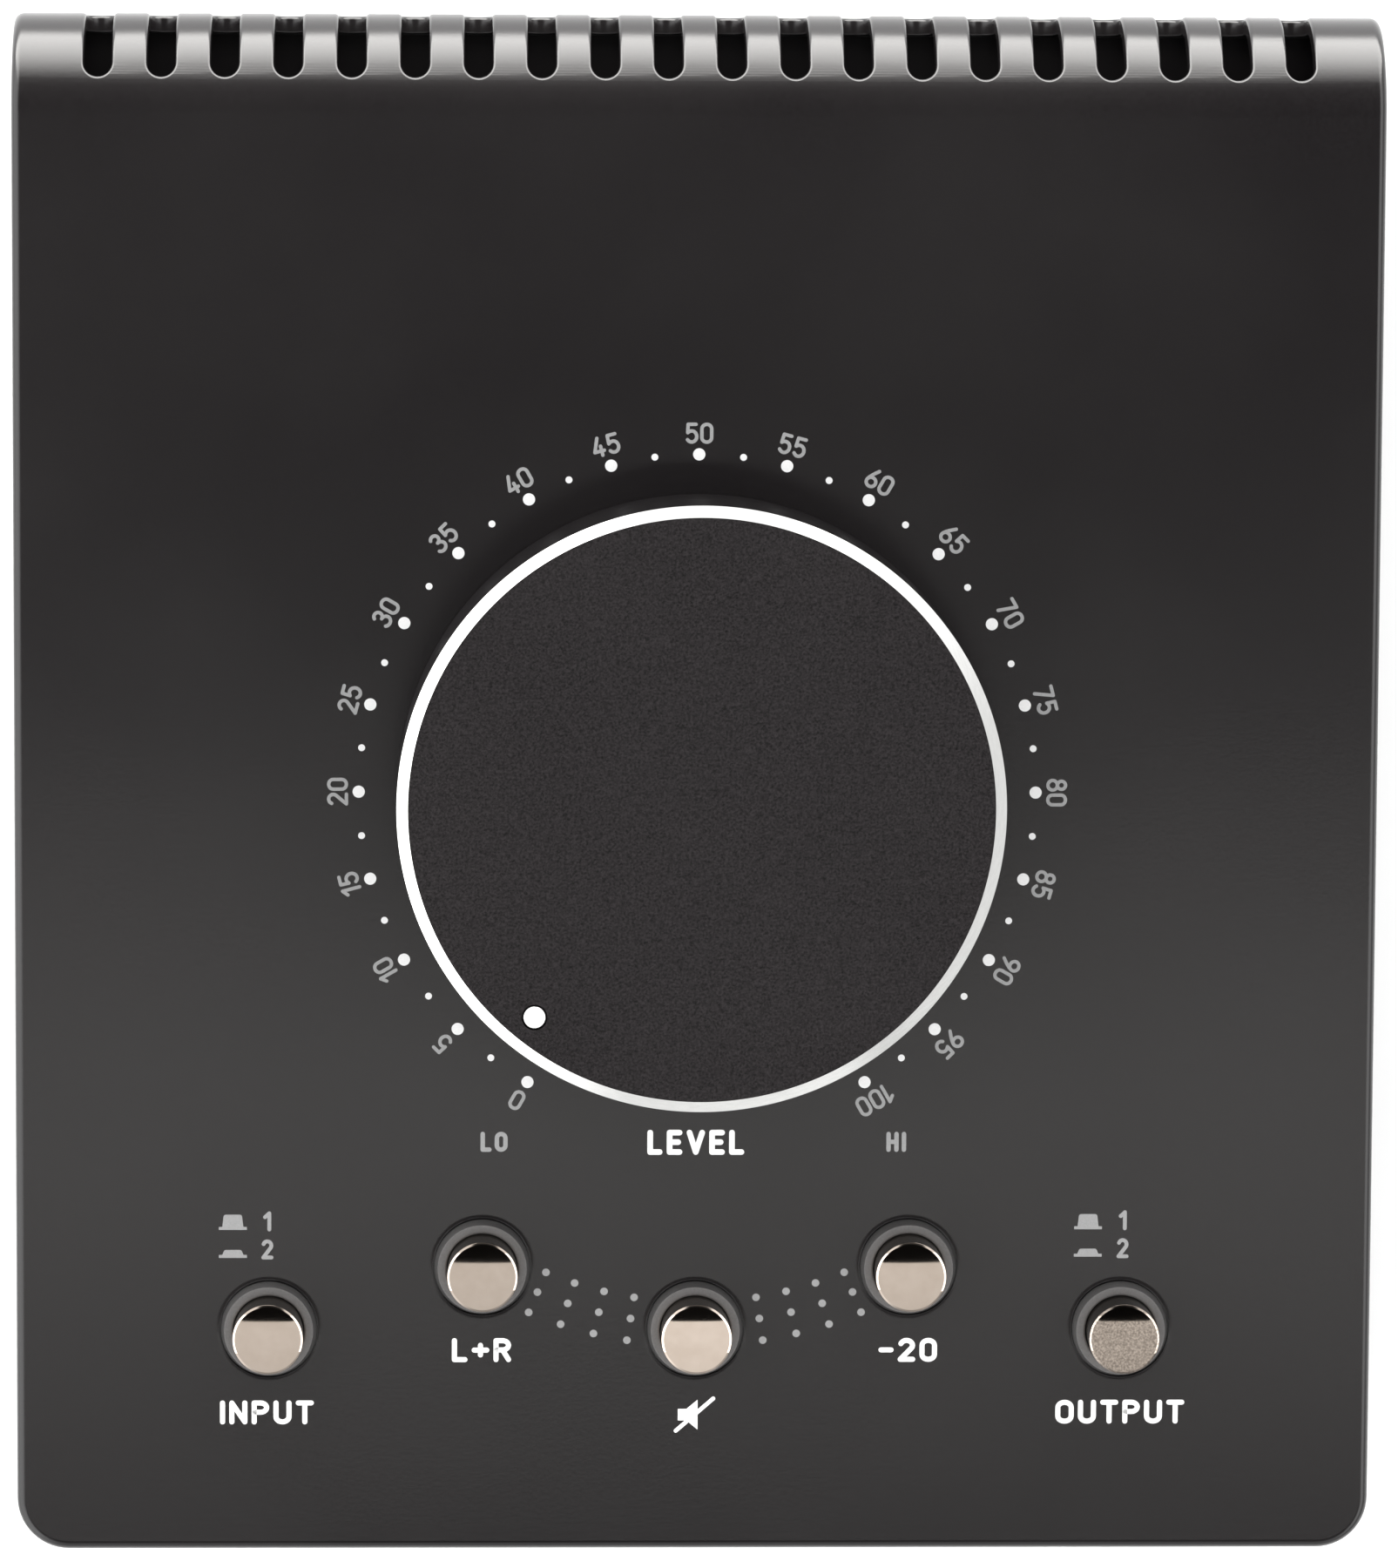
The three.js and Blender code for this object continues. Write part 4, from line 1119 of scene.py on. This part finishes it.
def makeJacks():
    p = rearParts
    rows = (8, 4, (p["firstX"], 0, p["middle"] - p["rowPitch"] / 2), (p["pitch"], 0, 0),
            (0, 0, p["rowPitch"]))
    names = [f"{row}_{i}" for row in ("lower", "upper") for i in range(1, 5)]
    front, mouth = case["panelBack"] - case["seatGap"], case["panelFace"] + p["proud"]
    end = front - p["jackLength"]
    half, cut = p["jackSide"] / 2, p["jackSide"] / 2 - p["chamfer"]
    outline = [(cut, -half), (half, -cut), (half, cut), (cut, half), (-cut, half), (-half, cut),
               (-half, -cut), (-cut, -half)]
    casing = prism("jack_sockets", outline, end, front, alongY)
    bushing, bore, depth, tip = p["bushing"], p["bore"], p["threadDepth"], p["neckRound"]
    thread = threadProfile(bushing, front - tip, mouth - tip, p["threadPitch"], depth)
    neck = turned("neck", [(0, front - past), (bushing - depth, front - past), *thread,
                           (bushing - tip, mouth), (0, mouth)], 72, alongY)
    carve(casing, neck, "UNION")
    floor, wide = end + p["boreFloor"], bore + p["boreMouth"]
    carve(casing, turned("bore", [(0, floor), (bore, floor), (bore, mouth - p["boreMouth"]), (wide, mouth),
                                  (wide + 0.1, mouth + past), (0, mouth + past)], 64, alongY))
    repeatInRows(casing, *rows)
    dress(casing, 32.0, finishes["blackPlastic"])
    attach(casing, "housing")
    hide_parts(*[f"jack_{name}" for name in names])
    nut = moved(hexNut("jack_nuts", p["nutFlats"], bushing + p["nutGap"], case["panelFace"] + p["nutGap"],
                       p["nutThick"]), alongY)
    repeatInRows(nut, *rows)
    dress(nut, 25.0, finishes["nickel"])
    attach(nut, "housing")
    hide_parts(*[f"jack_nut_{name}" for name in names])


base = {
    "side": 65.1,
    "front": -73.8,
    "rear": 75.1,
    "corner": 3.2,
    "screwHole": 1.55,
    "screwRadius": 1.25,
    "screwTip": 12.9,
    "screwGap": 0.02,
    "threadStart": 1.6,
    "threadEnd": 0.6,
    "threadPitch": 0.6,
    "threadDepth": 0.18,
    "headRadius": 2.8,
    "headHeight": 1.5,
    "headRound": 0.5,
    "recess": 0.9,
    "cross": (1.5, 0.32),
    "footRadius": 6.5,
    "footHeight": 3.18,
    "footPlaces": (50.0, 51.7),
    "footDish": 0.35,
    "footDishEdge": (2.2, 0.3),
    "footRing": 1.6,
    "footTaper": 0.3,
    "footWaist": 1.2,
    "footRound": (0.35, 0.4),
}


def makeBase():
    b = base
    side, front, corner, low, high = b["side"], b["front"], b["corner"], case["rim"], case["plateTop"]
    outline = (arcPoints(side - corner, front + corner, corner, corner, -90, 0, 12)
               + [(side, b["rear"]), (-side, b["rear"])]
               + arcPoints(corner - side, front + corner, corner, corner, 180, 270, 12))
    plate = prism("base_pan", outline, low, high)
    for x, y in shell["bosses"]:
        carve(plate, rod("screw_hole", x, y, b["screwHole"], low - past, high + past, 32))
    dress(plate, 32.0, finishes["steel"])
    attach(plate, "housing")
    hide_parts("base_plate")
    seat, headLow = low - b["screwGap"], low - case["seatGap"] - b["headHeight"]
    head, radius, tip = b["headRadius"], b["screwRadius"], b["screwTip"]
    headEdge = roundedCorner((0, headLow), (head, headLow), (head, seat), b["headRound"], 5)
    thread = threadProfile(radius, seat + b["threadStart"], tip - b["threadEnd"], b["threadPitch"],
                           b["threadDepth"])
    screw = turned("base_screws", [(0, headLow), *headEdge, (head, seat), (radius, seat), *thread,
                                   (0, tip)], 48)
    for x, y in (b["cross"][::-1], b["cross"]):
        carve(screw, block("cross", -x, x, -y, y, headLow - past, headLow + b["recess"]))
    (x0, y0), (x1, y1) = shell["bosses"][0], shell["bosses"][3]
    repeatInRows(screw, 4, 2, (x0, y0, 0), (x1 - x0, 0, 0), (0, y1 - y0, 0))
    dress(screw, 28.0, finishes["zinc"])
    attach(screw, "housing")
    corners = [f"{a}_{c}" for a in ("front", "rear") for c in ("left", "right")]
    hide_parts(*[f"base_screw_{c}" for c in corners])
    radius, height = b["footRadius"], b["footHeight"]
    tread, waist = radius - b["footTaper"], b["footWaist"]
    dishEdge, dishRise = b["footDishEdge"]
    low, high = b["footRound"]
    foot = turned("rubber_feet", [
        (0, b["footDish"]), (radius - dishEdge, dishRise), (radius - b["footRing"], 0),
        *roundedCorner((0, 0), (tread, 0), (radius, 1), low, 4),
        *roundedCorner((tread, 0), (radius, waist), (radius - low, height), high, 3),
        (radius - high, height), (0, height)], 72)
    x, y = b["footPlaces"]
    repeatInRows(foot, 4, 2, (-x, -y, 0), (2 * x, 0, 0), (0, 2 * y, 0))
    dress(foot, 28.0, finishes["rubber"])
    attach(foot, "housing")
    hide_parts(*[f"foot_{c}" for c in corners])


makeRearPanel()
makeJacks()
makeBase()
print("rear and base ready")

# CAD pieces that keep their own shape
kept = {"control_board": "board", "jack_board": "board", "wiring_ribbon": "ribbon", "pot_body": "zinc",
        "pot_washer": "zinc", "pot_nut": "nickel", "pot_shaft": "zinc", "knob_insert": "blackPlastic"}
for name in buttons["names"]:
    kept[f"{name}_button_plunger"] = "whitePlastic"
    kept[f"{name}_button_switch"] = "blackPlastic"
for name, finish in kept.items():
    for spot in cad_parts[name].material_slots:
        spot.material = finishes[finish]

warm, white = (1.0, 0.985, 0.96), (1.0, 1.0, 1.0)

# Places and sizes in metres
stage = {
    "floorSize": 6.0,
    "floorShade": 0.90,
    "sky": {"horizon": 2.0, "zenith": 0.012, "front": 0.48, "left": 1.5, "right": 1.5, "rightLow": 0.3,
            "fadeLow": 0.30, "fadeHigh": 0.80, "sideFadeLow": 0.70, "sideFadeHigh": 0.98,
            "leftSpan": (-0.10, -0.50), "rightSpan": (0.25, 0.65), "frontSpan": (-0.99, -0.72),
            "lowSpan": (0.25, 0.6)},
    "lights": {
        "softbox": {"place": (0, -0.32, 1.05), "aim": (0, -0.32, 0), "wide": 1.5, "high": 0.08,
                    "radiance": 3.1, "colour": warm},
        "cap_softbox": {"place": (0, -0.634, 1.05), "aim": (0, -0.634, 0), "wide": 1.5, "high": 0.68,
                        "radiance": 2.15, "colour": warm},
        "cap_left_light": {"place": (-0.9, -0.15, 0.65), "aim": (0, -0.15, 0.05), "wide": 1.2,
                           "high": 1.1, "radiance": 5.5, "colour": white},
        "cap_right_light": {"place": (0.9, -0.15, 0.65), "aim": (0, -0.15, 0.05), "wide": 1.2,
                            "high": 1.1, "radiance": 5.5, "colour": white},
        "top_fill": {"place": (0, 0, 1.5), "aim": (0, 0, 0), "wide": 1.4, "high": 1.4,
                     "radiance": 2.95, "colour": white},
        "rear_strip": {"place": (0, 0.27, 0.19), "aim": (0, 0, 0.19), "wide": 0.62, "high": 0.39,
                       "radiance": 12.0, "colour": warm},
    },
    "capFade": {"start": 0.0, "end": 1.0, "first": 0.6, "last": 1.0},
    "stripFade": {"start": 0.1, "end": 1.0, "first": 1.0, "last": 0.0, "rise": 0.10},
    # the camera as fitted to the photograph
    "cameraPlace": (-0.02548, 0.00374, 0.8869),
    "cameraRight": (0.9995361, 0.0014985, 0.03041939),
    "cameraUp": (-0.0013684, 0.99998983, -0.00429729),
    "cameraBack": (-0.03042552, 0.00425367, 0.99952799),
    "lens": 196.93,
    "sensor": 36.0,
    "clip": (0.01, 50.0),
}


def makeFloor():
    size, shade = stage["floorSize"], stage["floorShade"]
    mesh = bpy.data.meshes.new("floor")
    mesh.from_pydata([(-size, -size, 0), (size, -size, 0), (size, size, 0), (-size, size, 0)], [],
                     [[0, 1, 2, 3]])
    mesh.materials.append(newFinish("pale_floor", (shade,) * 3, (shade * 1.01,) * 3, 0.6,
                                    grainScale=80.0, specular=0.2))
    floor = newObject("floor", mesh)


def areaLight(name, place, aim, wide, high, radiance, colour):
    data = bpy.data.lights.new(name, "AREA")
    data.shape = "RECTANGLE"
    data.size, data.size_y = wide, high
    data.energy = radiance * math.pi * wide * high
    data.color = colour
    lamp = newObject(name, data)
    lamp.location = place
    lamp.rotation_euler = (Vector(aim) - Vector(place)).to_track_quat("-Z", "Y").to_euler()
    lamp.visible_camera = False
    return lamp


# The strength of a light changes smoothly over its depth
def fadeAcross(lamp, start, end, first, last, rise=0.0):
    lamp.data.use_nodes = True
    tree = lamp.data.node_tree
    place = addNode(tree, "ShaderNodeNewGeometry").outputs["Parametric"]
    depth = addNode(tree, "ShaderNodeSeparateXYZ", {0: place}).outputs["Y"]
    if rise:
        first = mapped(tree, depth, 0.0, rise, 0.0, 1.0, "SMOOTHSTEP")
    fade = mapped(tree, depth, start, end, first, last, "SMOOTHSTEP")
    tree.links.new(fade, tree.nodes["Emission"].inputs["Strength"])


# A light that leaves out some objects, or lights nothing else
def linked(lamp, name, members, state):
    group = bpy.data.collections.new(name)
    lamp.light_linking.receiver_collection = group
    for member in members:
        group.objects.link(bpy.data.objects[member])
    for member in group.collection_objects:
        member.light_linking.link_state = state


def makeLight():
    lamps = {name: areaLight(name, **values) for name, values in stage["lights"].items()}
    lamps["top_fill"].visible_glossy = False
    fadeAcross(lamps["cap_softbox"], **stage["capFade"])
    fadeAcross(lamps["rear_strip"], **stage["stripFade"])
    caps = [f"{name}_chrome_cap" for name in buttons["names"]]
    linked(lamps["softbox"], "not_lit_by_the_softbox", caps, "EXCLUDE")
    for name in ("cap_softbox", "cap_left_light", "cap_right_light"):
        linked(lamps[name], f"lit_by_the_{name}", caps, "INCLUDE")
    others = ["knob_body", "knob_cut_edge", "floor", "button_rings", "dial_dots", "level_dots",
              "printed_white", "printed_grey"]
    linked(lamps["rear_strip"], "not_lit_by_the_strip", others + caps, "EXCLUDE")


# White near the horizon, higher at the sides, dimmer towards the front, dark overhead
def makeWorld():
    world = bpy.data.worlds.new("studio")
    world.use_nodes = True
    bpy.context.scene.world = world
    tree = world.node_tree
    sky = stage["sky"]

    def eased(*values):
        return mapped(tree, *values, "SMOOTHSTEP")

    place = addNode(tree, "ShaderNodeTexCoord").outputs["Generated"]
    way = addNode(tree, "ShaderNodeSeparateXYZ", {0: place}).outputs
    left = eased(way["X"], *sky["leftSpan"], 0.0, sky["left"])
    right = eased(way["X"], *sky["rightSpan"], 0.0, sky["right"])
    side = calculated(tree, "ADD", left, right)
    low = eased(side, 0.0, 1.0, sky["fadeLow"], sky["sideFadeLow"])
    high = eased(side, 0.0, 1.0, sky["fadeHigh"], sky["sideFadeHigh"])
    horizon = eased(side, 0.0, sky["left"], sky["horizon"], sky["horizon"] * sky["left"])
    ring = eased(way["Z"], low, high, horizon, sky["zenith"])
    front = eased(way["Y"], *sky["frontSpan"], sky["front"], 1.0)
    nearFloor = eased(way["Z"], *sky["lowSpan"], sky["rightLow"], 1.0)
    lowRight = eased(right, 0.0, sky["right"], 1.0, nearFloor)
    strength = calculated(tree, "MULTIPLY", calculated(tree, "MULTIPLY", ring, front), lowRight)
    fillInputs(tree, tree.nodes["Background"], {"Color": (1, 1, 1, 1), "Strength": strength})


def makeCamera():
    data = bpy.data.cameras.new("camera")
    data.lens = stage["lens"]
    data.sensor_width = stage["sensor"]
    data.sensor_fit = "AUTO"
    data.clip_start, data.clip_end = stage["clip"]
    camera = newObject("camera", data)
    axes = Matrix((stage["cameraRight"], stage["cameraUp"], stage["cameraBack"])).transposed()
    camera.matrix_world = Matrix.Translation(stage["cameraPlace"]) @ axes.to_4x4()
    bpy.context.scene.camera = camera


makeFloor()
makeLight()
makeWorld()
makeCamera()
bpy.context.scene.view_settings.view_transform = "Standard"
print("stage ready")
